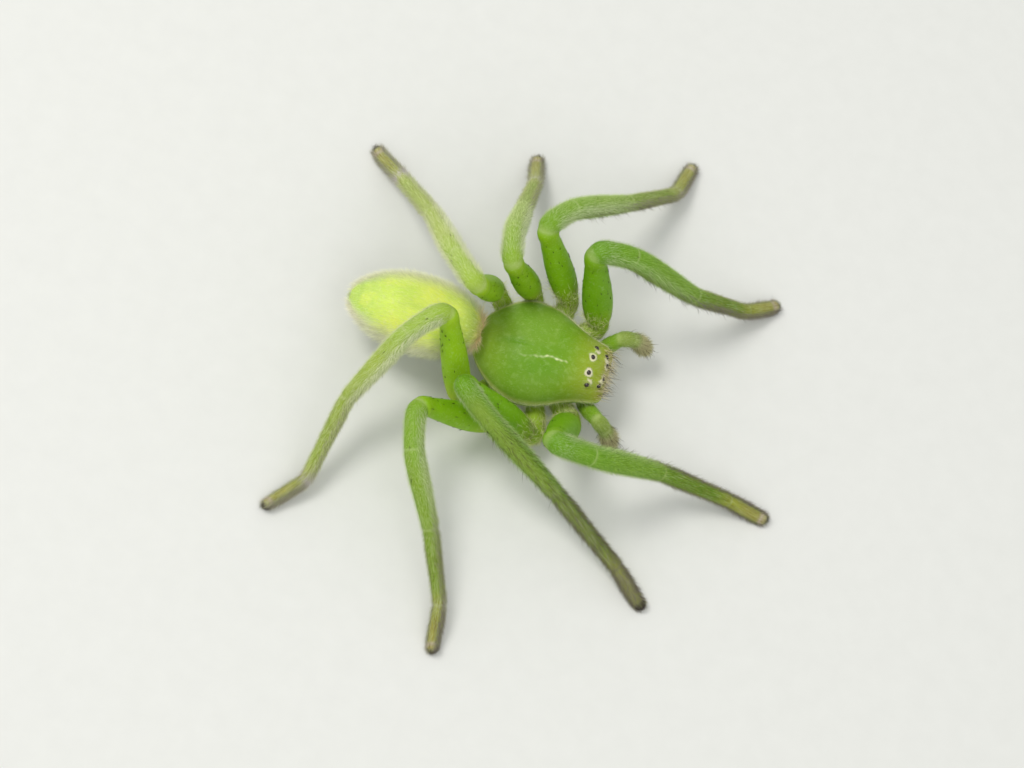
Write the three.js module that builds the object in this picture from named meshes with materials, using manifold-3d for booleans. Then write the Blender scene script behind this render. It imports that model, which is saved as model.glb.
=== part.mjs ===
// Green huntsman spider, an adult female at life size, standing with raised knees on eight feet.
// Millimetres, +X ahead, +Y to the spider's left, +Z up, origin on the ground under the middle of the box.
import * as THREE from "three";
import Module from "manifold-3d";

const wasm = await Module();
wasm.setup();

// Driving dimensions in millimetres. Body points are written in the body's own frame, whose origin
// lies between the leg bases, in the middle of the front body.
const COXA_HEIGHT = 2.1;
const BODY_ROLL = 8.2;
const BODY_PITCH = -1.0;
const JOINT_GAP = 0.25;
const EYE_GAP = 0.04;

const CARAPACE = { front: 3.75, rear: -3.6, rim: 0.45, rimThickness: 0.14, keel: -0.3, keelHalfWidth: 0.8 };
const CARAPACE_OUTLINE = [[-3.6, 0.85], [-3.2, 1.42], [-2.5, 2.1], [-1.7, 2.6], [-0.8, 2.82], [0.1, 2.72],
    [0.9, 2.42], [1.6, 2.08], [2.3, 1.8], [3.2, 1.6], [3.6, 1.42], [3.75, 1.2]];
const CARAPACE_CREST = [[-3.6, 0.12], [-3.1, 0.45], [-2.3, 1.05], [-1.2, 1.5], [0, 1.62], [1.2, 1.62],
    [2.1, 1.52], [2.8, 1.24], [3.3, 0.84], [3.6, 0.42], [3.75, 0.12]];
const STERNUM_OUTLINE = [[-2.1, 0.12], [-1.75, 0.42], [-1.2, 0.78], [-0.5, 1.05], [0.2, 1.1], [0.8, 1.0],
    [1.3, 0.75], [1.55, 0.35]];
const STERNUM = { top: -0.45, wall: 0.5, crown: 0.22 };
const ABDOMEN = { front: -3.4, rear: -10.7, halfWidth: 2.12, halfHeight: 1.6, belly: 0.9, frontHeight: 1.5,
    rearHeight: 0.95 };
const ABDOMEN_OUTLINE = [[0, 0.2], [0.03, 0.43], [0.08, 0.6], [0.15, 0.76], [0.24, 0.89], [0.34, 0.97],
    [0.46, 1], [0.6, 0.97], [0.73, 0.87], [0.865, 0.65], [0.97, 0.34], [1, 0.15]];
const PEDICEL = { front: -2.85, rear: -4.0, frontHeight: -0.12, rearHeight: 0.15, radius: 0.27 };
const CHELICERA = { root: [2.75, 0.52, -0.16], knee: [3.38, 0.52, -0.36], tip: [3.36, 0.48, -1.65],
    radius: 0.46, fang: 0.62 };
const MOUTH = { rear: 1.75, front: 2.5, halfWidth: 0.62, top: -0.5, bottom: -1.2, groove: 0.12 };
const EYES = {
    eye_pme: { ahead: 2.44, aside: 0.43, radius: 0.17 },
    eye_ple: { ahead: 2.54, aside: 0.98, radius: 0.18 },
    eye_ame: { ahead: 3.33, aside: 0.36, radius: 0.16 },
    eye_ale: { ahead: 3.2, aside: 0.76, radius: 0.18 },
};
const EYE_SINK = 0.05;
const SPINNERET = { ahead: -9.75, gap: 0.22, droop: 38, mound: 0.16, reach: 0.5, radius: 0.17, spread: 0.26 };

// Each pair of legs has one set of lengths. root is where the coxa leaves the breast plate.
const LEG_PAIRS = {
    1: { root: [1.05, 1.28], femur: 6.28, tibia: 7.69, metatarsus: 4.72, tarsus: 2.4, girth: 1.07 },
    2: { root: [0.33, 1.42], femur: 6.8, tibia: 8.12, metatarsus: 5.13, tarsus: 2.5, girth: 1 },
    3: { root: [-0.62, 1.36], femur: 6.1, tibia: 6.43, metatarsus: 3.94, tarsus: 2.4, girth: 0.96 },
    4: { root: [-1.5, 1.1], femur: 6.96, tibia: 7.04, metatarsus: 4.79, tarsus: 2.5, girth: 0.96 },
};
const COXA = { rootHeight: -0.78, baseHeight: -0.25 };
const PATELLA = { length: 2.35, lift: 15 };
const PAD = { height: 0.27, length: 0.5 };

// The pose: the femur's start, ahead and aside in the body's own frame, then the heading from straight
// ahead to the leg's own side and the pitch above level, in degrees, of the femur, the tibia and the
// metatarsus, and the heading of the tarsus, which comes down to the ground.
const POSE = {
    l1: { base: [2.6, 2.7], femur: [144, 66.5], tibia: [11, -32.5], metatarsus: [22.5, -37], tarsus: 37 },
    l2: { base: [0.75, 3.6], femur: [164.5, 62.5], tibia: [48, -33.5], metatarsus: [46, -35.5], tarsus: 74.5 },
    l3: { base: [-1.2, 3.4], femur: [-152, 65.5], tibia: [86.5, -38], metatarsus: [80, -40.5], tarsus: 92.5 },
    l4: { base: [-3.2, 3.0], femur: [-120, 61.5], tibia: [120, -35], metatarsus: [122.5, -41.5], tarsus: 136 },
    r1: { base: [2.5, 2.65], femur: [112, 53.5], tibia: [-15, -29.5], metatarsus: [-5.5, -24.5], tarsus: 5 },
    r2: { base: [0.85, 4.1], femur: [180, 42], tibia: [25, -23], metatarsus: [28, -19.5], tarsus: 37 },
    r3: { base: [-1.25, 4.0], femur: [160, 35.5], tibia: [64, -20.5], metatarsus: [63, -23.5], tarsus: 82 },
    r4: { base: [-3.3, 3.65], femur: [-136.5, 59], tibia: [125.5, -34], metatarsus: [100, -32], tarsus: 132 },
};

// Radius along each leg piece, as [share of its length, radius].
const LEG_PROFILES = {
    coxa: { stops: [[0, 0.27], [0.25, 0.47], [0.6, 0.57], [0.85, 0.54], [1, 0.51]], steps: 6 },
    femur: { stops: [[0, 0.52], [0.1, 0.67], [0.36, 0.76], [0.62, 0.72], [0.87, 0.61], [1, 0.57]], steps: 10 },
    tibia: { stops: [[0, 0.56], [0.12, 0.63], [0.27, 0.585], [0.36, 0.575], [0.55, 0.6], [0.85, 0.52],
        [1, 0.46]], steps: 12 },
    metatarsus: { stops: [[0, 0.44], [0.15, 0.46], [0.6, 0.41], [1, 0.39]], steps: 5 },
    tarsus: { stops: [[0, 0.36], [0.3, 0.38], [0.75, 0.36], [0.9, 0.34], [1, 0.22]], steps: 7 },
};
const BENDS = { trochanter: 0.55, knee: 0.95, patella: 0.9, ankle: 0.6, foot: 0.5, pad: 0.2 };
const CUTS = { trochanter: 0.6, knee: 1.0 };
const LEG_SIDES = 10;

// The palps reach ahead of the face. Their knees stand up and their tips hang down.
const PALPS = {
    l: { root: [2.6, 1.02, -0.62], hip: [3.05, 1.6, -0.4], knee: [3.82, 2.25, 0.8],
        wrist: [4.72, 2.5, 0.25], tip: [5.5, 2.6, -1.25] },
    r: { root: [2.6, -1.02, -0.62], hip: [3.02, -1.62, -0.4], knee: [3.75, -2.47, 0.8],
        wrist: [4.5, -2.78, 0.15], tip: [5.0, -3.0, -1.25] },
};
const PALP_PROFILES = {
    palp_femur: [[0, 0.26], [0.3, 0.34], [0.7, 0.38], [1, 0.33]],
    palp_tarsus: [[0, 0.33], [0.15, 0.37], [0.45, 0.32], [0.75, 0.36], [0.92, 0.3], [1, 0.16]],
};

const FINISHES = {
    shell: { color: 0x7fae34, roughness: 0.4, metalness: 0 },
    limb: { color: 0x86ad3c, roughness: 0.5, metalness: 0 },
    foot: { color: 0x8a7f62, roughness: 0.85, metalness: 0 },
    abdomen: { color: 0xd4e878, roughness: 0.7, metalness: 0 },
    face: { color: 0x9bb04c, roughness: 0.6, metalness: 0 },
    eye: { color: 0x17140f, roughness: 0.1, metalness: 0 },
};

const { clamp, degToRad: degrees, lerp, radToDeg, smoothstep } = THREE.MathUtils;
const vector = (point) => new THREE.Vector3(...point);

/** Unit vector of a heading, turned to the given side, and a pitch, both in degrees. */
function direction(heading, pitch, side) {
    const level = Math.cos(degrees(pitch));
    const turn = degrees(heading);
    return new THREE.Vector3(level * Math.cos(turn), side * level * Math.sin(turn), Math.sin(degrees(pitch)));
}

/** Smooth value of a list of [place, value] stops, each pair joined by a monotone cubic. */
function smooth(stops, place) {
    const last = stops.length - 1;
    if (place <= stops[0][0]) return stops[0][1];
    if (place >= stops[last][0]) return stops[last][1];
    const slope = (i) => (stops[i + 1][1] - stops[i][1]) / (stops[i + 1][0] - stops[i][0]);
    const tangent = (i) => {
        if (i === 0 || i === last) return slope(Math.min(i, last - 1));
        const before = slope(i - 1);
        const after = slope(i);
        return before * after <= 0 ? 0 : 2 * before * after / (before + after);
    };
    const i = stops.findIndex((stop) => stop[0] > place) - 1;
    const width = stops[i + 1][0] - stops[i][0];
    const t = (place - stops[i][0]) / width;
    return stops[i][1] * (1 + 2 * t) * (1 - t) ** 2 + stops[i + 1][1] * t * t * (3 - 2 * t)
        + tangent(i) * width * t * (1 - t) ** 2 + tangent(i + 1) * width * t * t * (t - 1);
}

/** Closed skin over a row of rings with equal counts, with its faces turned outwards. */
function loft(rings) {
    const count = rings[0].length;
    const points = rings.flat();
    const faces = [];
    const cap = (ring, turn) => {
        const middle = points.length;
        const centre = new THREE.Vector3();
        rings[ring].forEach((point) => centre.addScaledVector(point, 1 / count));
        points.push(centre);
        for (let i = 0; i < count; i++) {
            const here = ring * count + i;
            const next = ring * count + (i + 1) % count;
            faces.push(...(turn ? [middle, here, next] : [middle, next, here]));
        }
    };
    for (let ring = 0; ring < rings.length - 1; ring++) {
        for (let i = 0; i < count; i++) {
            const a = ring * count + i;
            const b = ring * count + (i + 1) % count;
            faces.push(a, b, b + count, a, b + count, a + count);
        }
    }
    cap(0, false);
    cap(rings.length - 1, true);
    let volume = 0;
    for (let i = 0; i < faces.length; i += 3) {
        volume += points[faces[i]].dot(points[faces[i + 1]].clone().cross(points[faces[i + 2]]));
    }
    if (volume < 0) faces.reverse();
    return shape(points.flatMap((point) => point.toArray()), faces);
}

/** Geometry from flat lists of vertex numbers and face numbers. */
function shape(positions, faces) {
    const geometry = new THREE.BufferGeometry();
    geometry.setAttribute("position", new THREE.Float32BufferAttribute(positions, 3));
    geometry.setIndex(Array.from(faces));
    geometry.computeVertexNormals();
    return geometry;
}

/** The same shape as a solid that can be joined and cut. */
function solid(geometry) {
    return new wasm.Manifold(new wasm.Mesh({
        numProp: 3,
        vertProperties: new Float32Array(geometry.attributes.position.array),
        triVerts: new Uint32Array(geometry.index.array),
    }));
}

/** Geometry of a solid's largest closed piece. */
function largest(body) {
    const pieces = body.decompose().sort((a, b) => b.volume() - a.volume());
    const mesh = pieces[0].getMesh();
    return shape(mesh.vertProperties, mesh.triVerts);
}

/** A path through straight pieces with rounded corners, with frames carried along it without twist. */
class Spine {
    static SAMPLES = 240;

    constructor(corners, bends) {
        this.path = new THREE.CurvePath();
        this.marks = [];
        let start = corners[0];
        for (let i = 1; i < corners.length - 1; i++) {
            const back = corners[i - 1].clone().sub(corners[i]).setLength(bends[i - 1]).add(corners[i]);
            const ahead = corners[i + 1].clone().sub(corners[i]).setLength(bends[i - 1]).add(corners[i]);
            this.path.add(new THREE.LineCurve3(start, back));
            const bend = new THREE.QuadraticBezierCurve3(back, corners[i], ahead);
            this.marks.push(this.path.getLength() + bend.getLength() / 2);
            this.path.add(bend);
            this.path.updateArcLengths();
            start = ahead;
        }
        this.path.add(new THREE.LineCurve3(start, corners[corners.length - 1]));
        this.path.updateArcLengths();
        this.length = this.path.getLength();
        this.carryFrames();
    }

    /** Side vectors at even steps, each turned from the last by the least turn. */
    carryFrames() {
        this.sides = [];
        const turn = new THREE.Quaternion();
        let tangent = this.path.getTangent(0);
        let side = new THREE.Vector3(0, 0, 1).cross(tangent).normalize();
        for (let i = 0; i <= Spine.SAMPLES; i++) {
            const next = this.path.getTangent(i / Spine.SAMPLES);
            side = side.clone().applyQuaternion(turn.setFromUnitVectors(tangent, next));
            this.sides.push(side);
            tangent = next;
        }
    }

    /** Points of a round ring at a distance along the path. */
    ring(distance, radius, count) {
        const place = clamp(distance / this.length, 0, 1);
        const centre = this.path.getPoint(place);
        const tangent = this.path.getTangent(place);
        const side = this.sides[Math.round(place * Spine.SAMPLES)].clone();
        side.addScaledVector(tangent, -side.dot(tangent)).normalize();
        const up = tangent.clone().cross(side);
        return Array.from({ length: count }, (_, i) => {
            const angle = 2 * Math.PI * i / count;
            return centre.clone().addScaledVector(side, radius * Math.cos(angle))
                .addScaledVector(up, radius * Math.sin(angle));
        });
    }

    /** Rings of a tube between two distances, with a profile over its length. */
    rings(from, to, stops, steps, count) {
        return Array.from({ length: steps + 1 }, (_, i) => {
            const share = i / steps;
            return this.ring(from + (to - from) * share, smooth(stops, share), count);
        });
    }
}

/** A named mesh in one of the finishes. */
function piece(name, geometry, finish) {
    const mesh = new THREE.Mesh(geometry, new THREE.MeshStandardMaterial(FINISHES[finish]));
    mesh.name = name;
    return mesh;
}

/** Height of the carapace's upper face above its rim, at a place ahead and aside of the middle. */
function carapaceTop(ahead, aside) {
    const share = Math.min(1, Math.abs(aside) / smooth(CARAPACE_OUTLINE, ahead));
    return CARAPACE.rim + CARAPACE.rimThickness + smooth(CARAPACE_CREST, ahead) * (1 - share ** 2.3) ** 0.62;
}

/** One cross ring of the front body: the domed upper face, the rim and the keel under it. */
function carapaceRing(ahead) {
    const half = smooth(CARAPACE_OUTLINE, ahead);
    const columns = 14;
    const ring = [];
    for (let i = 0; i <= columns; i++) {
        const aside = half * Math.cos(Math.PI * i / columns);
        ring.push(new THREE.Vector3(ahead, aside, carapaceTop(ahead, aside)));
    }
    const ends = smoothstep(ahead, CARAPACE.rear + 0.5, CARAPACE.rear + 1.6)
        * (1 - smoothstep(ahead, CARAPACE.front - 1.6, CARAPACE.front - 0.7));
    const keelHalf = Math.min(CARAPACE.keelHalfWidth, half * 0.5);
    const under = lerp(CARAPACE.rim, CARAPACE.keel, ends);
    const lip = lerp(half, keelHalf, 0.45);
    const rim = CARAPACE.rim;
    for (const [aside, height] of [[-half, rim], [-lip, rim], [-keelHalf, under], [0, under],
        [keelHalf, under], [lip, rim], [half, rim]]) {
        ring.push(new THREE.Vector3(ahead, aside, height));
    }
    return ring;
}

/** Centre of an eye, sunk in the head's upper face along that face's normal. */
function eyeCentre(eye, side) {
    const step = 0.05;
    const aside = side * eye.aside;
    const top = (ahead, across) => carapaceTop(eye.ahead + ahead, aside + across);
    const normal = new THREE.Vector3(top(-step, 0) - top(step, 0), top(0, -step) - top(0, step), 2 * step);
    const centre = new THREE.Vector3(eye.ahead, aside, top(0, 0));
    return centre.addScaledVector(normal.normalize(), -EYE_SINK);
}

/** A ball with shared corners, at a place. */
function ball(radius, centre) {
    const faceted = new THREE.IcosahedronGeometry(radius, 1);
    const corners = [];
    const numbers = new Map();
    const faces = [];
    const array = faceted.attributes.position;
    for (let i = 0; i < array.count; i++) {
        const point = new THREE.Vector3().fromBufferAttribute(array, i);
        const key = point.toArray().map((value) => value.toFixed(4)).join(" ");
        if (!numbers.has(key)) {
            numbers.set(key, corners.length / 3);
            corners.push(...point.add(centre).toArray());
        }
        faces.push(numbers.get(key));
    }
    return shape(corners, faces);
}

/** The head and thorax, with a socket cut for each eye. */
function makeCarapace() {
    const steps = 20;
    const rings = [];
    for (let i = 0; i <= steps; i++) {
        const share = 0.3 - 0.3 * Math.cos(Math.PI * i / steps) + 0.4 * i / steps;
        rings.push(carapaceRing(lerp(CARAPACE.rear, CARAPACE.front, share)));
    }
    let body = solid(loft(rings));
    for (const eye of Object.values(EYES)) {
        for (const side of [1, -1]) {
            body = body.subtract(solid(ball(eye.radius + EYE_GAP, eyeCentre(eye, side))));
        }
    }
    return piece("carapace", largest(body), "shell");
}

/** The eight eyes in two rows. */
function makeEyes() {
    return Object.entries(EYES).flatMap(([name, eye]) => [["l", 1], ["r", -1]].map(
        ([letter, side]) => piece(`${name}_${letter}`, ball(eye.radius, eyeCentre(eye, side)), "eye")));
}

/** The heart-shaped breast plate between the leg roots. */
function makeSternum() {
    const rows = 9;
    const columns = 8;
    const rings = [];
    for (let i = 0; i <= rows; i++) {
        const ahead = lerp(STERNUM_OUTLINE[0][0], STERNUM_OUTLINE.at(-1)[0], i / rows);
        const half = smooth(STERNUM_OUTLINE, ahead);
        const ring = [-half, half].map((aside) => new THREE.Vector3(ahead, aside, STERNUM.top));
        for (let j = 0; j <= columns; j++) {
            const aside = half * Math.cos(Math.PI * j / columns);
            const bulge = Math.sqrt(Math.max(0, 1 - (aside / half) ** 2)) * Math.min(1, half / 0.8);
            const crown = STERNUM.crown * bulge;
            ring.push(new THREE.Vector3(ahead, aside, STERNUM.top - STERNUM.wall - crown));
        }
        rings.push(ring);
    }
    return piece("sternum", loft(rings), "limb");
}

/** The lower lip and the two jaw lobes beside it, ahead of the breast plate. */
function makeMouth() {
    const rings = [];
    for (const [share, width, depth] of [[0, 0.6, 0.6], [0.15, 0.85, 0.85], [0.6, 1, 1], [0.85, 0.9, 0.8],
        [1, 0.7, 0.5]]) {
        const ahead = lerp(MOUTH.rear, MOUTH.front, share);
        const half = MOUTH.halfWidth * width;
        const bottom = lerp(MOUTH.top, MOUTH.bottom, depth);
        const groove = MOUTH.groove * width;
        const lobe = [[0.9, MOUTH.top], [1, (MOUTH.top + bottom) / 2], [0.75, bottom],
            [0.38, bottom - groove / 4], [0.3, bottom + groove]];
        const mirrored = lobe.map(([x, height]) => [-x, height]).reverse();
        const points = [...lobe, [0, bottom + groove * 0.6], ...mirrored];
        rings.push(points.map(([x, height]) => new THREE.Vector3(ahead, half * x, height)));
    }
    return piece("mouthparts", loft(rings), "face");
}

/** The abdomen, an egg lying behind the carapace. */
function makeAbdomen() {
    const steps = 18;
    const count = 18;
    const rings = [];
    for (let i = 0; i <= steps; i++) {
        const share = 0.5 - 0.5 * Math.cos(Math.PI * i / steps);
        const ahead = lerp(ABDOMEN.front, ABDOMEN.rear, share);
        const height = lerp(ABDOMEN.frontHeight, ABDOMEN.rearHeight, share);
        const size = smooth(ABDOMEN_OUTLINE, share);
        rings.push(Array.from({ length: count }, (_, j) => {
            const angle = 2 * Math.PI * j / count;
            const lower = Math.sin(angle) < 0 ? ABDOMEN.belly : 1;
            return new THREE.Vector3(ahead, ABDOMEN.halfWidth * size * Math.cos(angle),
                height + ABDOMEN.halfHeight * size * lower * Math.sin(angle));
        }));
    }
    return piece("abdomen", loft(rings), "abdomen");
}

/** A round tube through a few points, on its own. */
function tube(corners, bends, stops, steps, count) {
    const spine = new Spine(corners, bends);
    return loft(spine.rings(0, spine.length, stops, steps, count));
}

/** The waist between the carapace and the abdomen. */
function makePedicel() {
    const front = new THREE.Vector3(PEDICEL.front, 0, PEDICEL.frontHeight);
    const rear = new THREE.Vector3(PEDICEL.rear, 0, PEDICEL.rearHeight);
    const middle = front.clone().lerp(rear, 0.5);
    const stops = [[0, PEDICEL.radius], [0.5, PEDICEL.radius * 0.85], [1, PEDICEL.radius]];
    return piece("pedicel", tube([front, middle, rear], [0.2], stops, 4, LEG_SIDES), "limb");
}

/** Height of the abdomen's underside on its middle line. */
function abdomenUnder(ahead) {
    const share = (ahead - ABDOMEN.front) / (ABDOMEN.rear - ABDOMEN.front);
    const middle = lerp(ABDOMEN.frontHeight, ABDOMEN.rearHeight, share);
    return middle - ABDOMEN.halfHeight * ABDOMEN.belly * smooth(ABDOMEN_OUTLINE, share);
}

/** Three pairs of spinnerets on one low mound, under the abdomen's tip and pointing back and down. */
function makeSpinnerets() {
    const cone = (from, to, stops, steps, count) => solid(
        tube([from, from.clone().lerp(to, 0.5), to], [0.05], stops, steps, count));
    const moundTop = new THREE.Vector3(-SPINNERET.mound, 0, 0);
    let body = cone(new THREE.Vector3(), moundTop, [[0, 0.44], [1, 0.36]], 2, 10);
    const stops = [[0, SPINNERET.radius], [0.7, SPINNERET.radius * 0.75], [1, SPINNERET.radius * 0.4]];
    for (const [lift, reach, aside] of [[0.17, 1, 0.75], [0, 0.7, 0.4], [-0.19, 0.9, 0.75]]) {
        for (const side of [1, -1]) {
            const start = new THREE.Vector3(-SPINNERET.mound / 2, side * aside * SPINNERET.spread, lift);
            const step = new THREE.Vector3(-SPINNERET.reach * reach, 0.05 * side, lift * 0.3);
            body = body.add(cone(start, start.clone().add(step), stops, 3, 6));
        }
    }
    const mesh = piece("spinnerets", largest(body), "abdomen");
    mesh.rotation.y = -degrees(SPINNERET.droop);
    const root = abdomenUnder(SPINNERET.ahead);
    mesh.position.set(SPINNERET.ahead - SPINNERET.gap, 0, root - SPINNERET.gap);
    return mesh;
}

/** One jaw, hanging from the face, with its fang folded inwards at the tip. */
function makeChelicera(letter, side) {
    const mirror = ([ahead, aside, height]) => new THREE.Vector3(ahead, side * aside, height);
    const [root, knee, tip] = [CHELICERA.root, CHELICERA.knee, CHELICERA.tip].map(mirror);
    const r = CHELICERA.radius;
    const stops = [[0, r * 0.7], [0.3, r], [0.7, r * 0.92], [0.92, r * 0.72], [1, r * 0.45]];
    const base = tube([root, knee, tip], [0.55], stops, 9, 12);
    const claw = tip.clone().add(new THREE.Vector3(0.02, 0, 0.18));
    const bend = claw.clone().add(new THREE.Vector3(-0.1, -side * 0.12, -0.28));
    const point = bend.clone().add(new THREE.Vector3(-CHELICERA.fang, -side * 0.12, 0.05));
    const fang = tube([claw, bend, point], [0.12], [[0, 0.15], [0.5, 0.11], [1, 0.03]], 6, 8);
    return piece(`chelicera_${letter}`, largest(solid(base).add(solid(fang))), "face");
}

/** The two lengths of one palp, parted at its knee. */
function makePalp(letter) {
    const palp = PALPS[letter];
    const corners = Object.values(palp).map(vector);
    const spine = new Spine(corners, [0.35, 0.5, 0.45]);
    const knee = spine.marks[1] - 0.3;
    const femur = spine.rings(0, knee, PALP_PROFILES.palp_femur, 6, LEG_SIDES);
    const tarsus = spine.rings(knee + JOINT_GAP, spine.length, PALP_PROFILES.palp_tarsus, 10, LEG_SIDES);
    return [
        piece(`palp_${letter}_femur`, loft(femur), "limb"),
        piece(`palp_${letter}_tarsus`, loft(tarsus), "face"),
    ];
}

/** Corners of one leg from the breast plate to the foot, on the ground's own axes. */
function legCorners(letter, number, toGround) {
    const side = letter === "l" ? 1 : -1;
    const pair = LEG_PAIRS[number];
    const pose = POSE[`${letter}${number}`];
    const root = toGround(new THREE.Vector3(pair.root[0], side * pair.root[1], COXA.rootHeight));
    const base = toGround(new THREE.Vector3(pose.base[0], side * pose.base[1], COXA.baseHeight));
    const femur = direction(...pose.femur, side);
    const tibia = direction(...pose.tibia, side);
    const knee = base.clone().addScaledVector(femur, pair.femur);
    const lift = femur.clone().addScaledVector(tibia, -femur.dot(tibia)).normalize();
    const patella = knee.clone().addScaledVector(tibia, PATELLA.length * Math.cos(degrees(PATELLA.lift)))
        .addScaledVector(lift, PATELLA.length * Math.sin(degrees(PATELLA.lift)));
    const ankle = knee.clone().addScaledVector(tibia, pair.tibia);
    const foot = ankle.clone().addScaledVector(direction(...pose.metatarsus, side), pair.metatarsus);
    const reach = pair.tarsus - PAD.length;
    const drop = radToDeg(Math.asin((foot.z - PAD.height) / reach));
    const pad = foot.clone().addScaledVector(direction(pose.tarsus, -drop, side), reach);
    const tip = pad.clone().addScaledVector(direction(pose.tarsus, 0, side), PAD.length);
    return [root, base, knee, patella, ankle, foot, pad, tip];
}

/** The five pieces of one leg, one round limb parted by thin cuts at its joints. */
function makeLeg(letter, number, toGround) {
    const spine = new Spine(legCorners(letter, number, toGround), Object.values(BENDS));
    const [trochanter, knee, , ankle, foot] = spine.marks;
    const ends = [0, trochanter + CUTS.trochanter, knee - CUTS.knee, ankle, foot, spine.length];
    return Object.entries(LEG_PROFILES).map(([name, profile], i) => {
        const from = ends[i] + (i > 0 ? JOINT_GAP / 2 : 0);
        const to = ends[i + 1] - (name === "tarsus" ? 0 : JOINT_GAP / 2);
        const stops = profile.stops.map(([share, radius]) => [share, radius * LEG_PAIRS[number].girth]);
        const rings = spine.rings(from, to, stops, profile.steps, LEG_SIDES);
        rings.flat().forEach((point) => { point.z = Math.max(0, point.z); });
        return piece(`leg_${letter}${number}_${name}`, loft(rings), name === "tarsus" ? "foot" : "limb");
    });
}

/** The whole spider, with its origin on the ground under the middle of its box. */
function makeSpider() {
    const spider = new THREE.Group();
    const body = new THREE.Group();
    body.position.z = COXA_HEIGHT;
    body.rotation.set(degrees(BODY_ROLL), degrees(BODY_PITCH), 0);
    body.updateMatrixWorld(true);
    const toGround = (point) => point.applyMatrix4(body.matrix);
    body.add(makeCarapace(), ...makeEyes(), makeSternum(), makeMouth());
    body.add(makePedicel(), makeAbdomen(), makeSpinnerets());
    spider.add(body);
    for (const [letter, side] of [["l", 1], ["r", -1]]) {
        body.add(makeChelicera(letter, side), ...makePalp(letter));
        for (const number of [1, 2, 3, 4]) spider.add(...makeLeg(letter, number, toGround));
    }
    spider.updateMatrixWorld(true);
    const middle = new THREE.Box3().setFromObject(spider, true).getCenter(new THREE.Vector3());
    spider.position.set(-middle.x, -middle.y, 0);
    return spider;
}

export default makeSpider();
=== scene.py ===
"""Green huntsman spider, an adult female on eight feet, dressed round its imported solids.

Sizes are fields in millimetres and turn into metres as each mesh is made. +X is ahead, +Y is the
spider's left and +Z is up, with the ground at height 0.
"""

import logging
import math
from collections.abc import Iterable, Sequence
from dataclasses import dataclass, field
from enum import Enum

import bpy
import numpy as np
from mathutils import Matrix, Vector


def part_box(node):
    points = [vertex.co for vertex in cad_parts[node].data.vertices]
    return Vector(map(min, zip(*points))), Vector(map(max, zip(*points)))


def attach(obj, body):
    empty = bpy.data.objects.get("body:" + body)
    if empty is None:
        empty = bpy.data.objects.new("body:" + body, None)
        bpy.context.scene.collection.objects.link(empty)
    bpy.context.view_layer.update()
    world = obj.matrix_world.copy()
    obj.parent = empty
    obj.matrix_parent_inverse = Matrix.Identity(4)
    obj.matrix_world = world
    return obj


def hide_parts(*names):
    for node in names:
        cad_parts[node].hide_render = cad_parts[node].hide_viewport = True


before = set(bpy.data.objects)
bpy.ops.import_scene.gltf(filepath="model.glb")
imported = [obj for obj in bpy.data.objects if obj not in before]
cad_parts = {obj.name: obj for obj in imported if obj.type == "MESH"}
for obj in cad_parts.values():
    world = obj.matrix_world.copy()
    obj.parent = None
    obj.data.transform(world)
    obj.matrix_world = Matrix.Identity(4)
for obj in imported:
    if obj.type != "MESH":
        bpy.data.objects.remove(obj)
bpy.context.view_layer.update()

Array = np.ndarray
Color = tuple[float, float, float]
Point = tuple[float, float, float]
Stops = tuple[tuple[float, float], ...]

MM = 0.001
SKIN_MAP = "SkinMap"
BAKE_MAP = "OFBake"
GROUND_CLEARANCE = 0.006
log = logging.getLogger("spider")


class Side(Enum):
    """The spider's own left and right."""

    LEFT = "l"
    RIGHT = "r"

    @property
    def sign(self) -> int:
        """1 on the left, which is +Y, and -1 on the right."""
        return 1 if self is Side.LEFT else -1

    @property
    def turn(self) -> int:
        """1 on the left and 2 on the right, to tell their random draws apart."""
        return 1 if self is Side.LEFT else 2


class Slot(Enum):
    """The finishes that the record names."""

    CARAPACE = "carapace"
    LIMB = "limb"
    FOOT = "foot"
    ABDOMEN = "abdomen"
    FACE = "face"
    EYE = "eye"


@dataclass(frozen=True)
class Profile:
    """A smooth value over a place, through a few stops joined by monotone cubics."""

    stops: Stops

    def span(self) -> tuple[float, float]:
        """Its first and its last place."""
        return self.stops[0][0], self.stops[-1][0]

    def at(self, places: Array | float) -> Array:
        """The value at each place.

        Args:
            places: Where to read the profile.

        Returns:
            One value for each place, held level beyond the first and the last stop.
        """
        x, y = np.array(self.stops, float).T
        slopes = np.diff(y) / np.diff(x)
        product, total = slopes[:-1] * slopes[1:], slopes[:-1] + slopes[1:]
        tangents = np.concatenate([slopes[:1], np.zeros(len(slopes) - 1), slopes[-1:]])
        rising = product > 0
        tangents[1:-1][rising] = 2 * product[rising] / total[rising]
        p = np.clip(places, x[0], x[-1])
        i = np.clip(np.searchsorted(x, p, side="right") - 1, 0, len(x) - 2)
        width = x[i + 1] - x[i]
        t = (p - x[i]) / width
        level = y[i] * (1 + 2 * t) * (1 - t) ** 2 + y[i + 1] * t * t * (3 - 2 * t)
        return level + tangents[i] * width * t * (1 - t) ** 2 + tangents[i + 1] * width * t * t * (t - 1)


def bell(x: Array, middle: float, width: float) -> Array:
    """A smooth hump of height 1 at the middle, down to a third at one width from it."""
    return np.exp(-(((x - middle) / width) ** 2))


def ramp(x: Array, start: float, end: float) -> Array:
    """0 at the start, 1 at the end and a smooth rise between them."""
    t = np.clip((x - start) / (end - start), 0, 1)
    return t * t * (3 - 2 * t)


def plateau(x: Array, start: float, full: float, fading: float, end: float) -> Array:
    """1 between two places, with a smooth rise before it and a smooth fall behind it."""
    return ramp(x, start, full) * (1 - ramp(x, fading, end))


def flat(color: Array | Color, shape: tuple[int, ...]) -> Array:
    """One colour for all points of a grid, or the colours that it has already."""
    return np.broadcast_to(np.asarray(color, float), (*shape[:2], 3))


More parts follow.
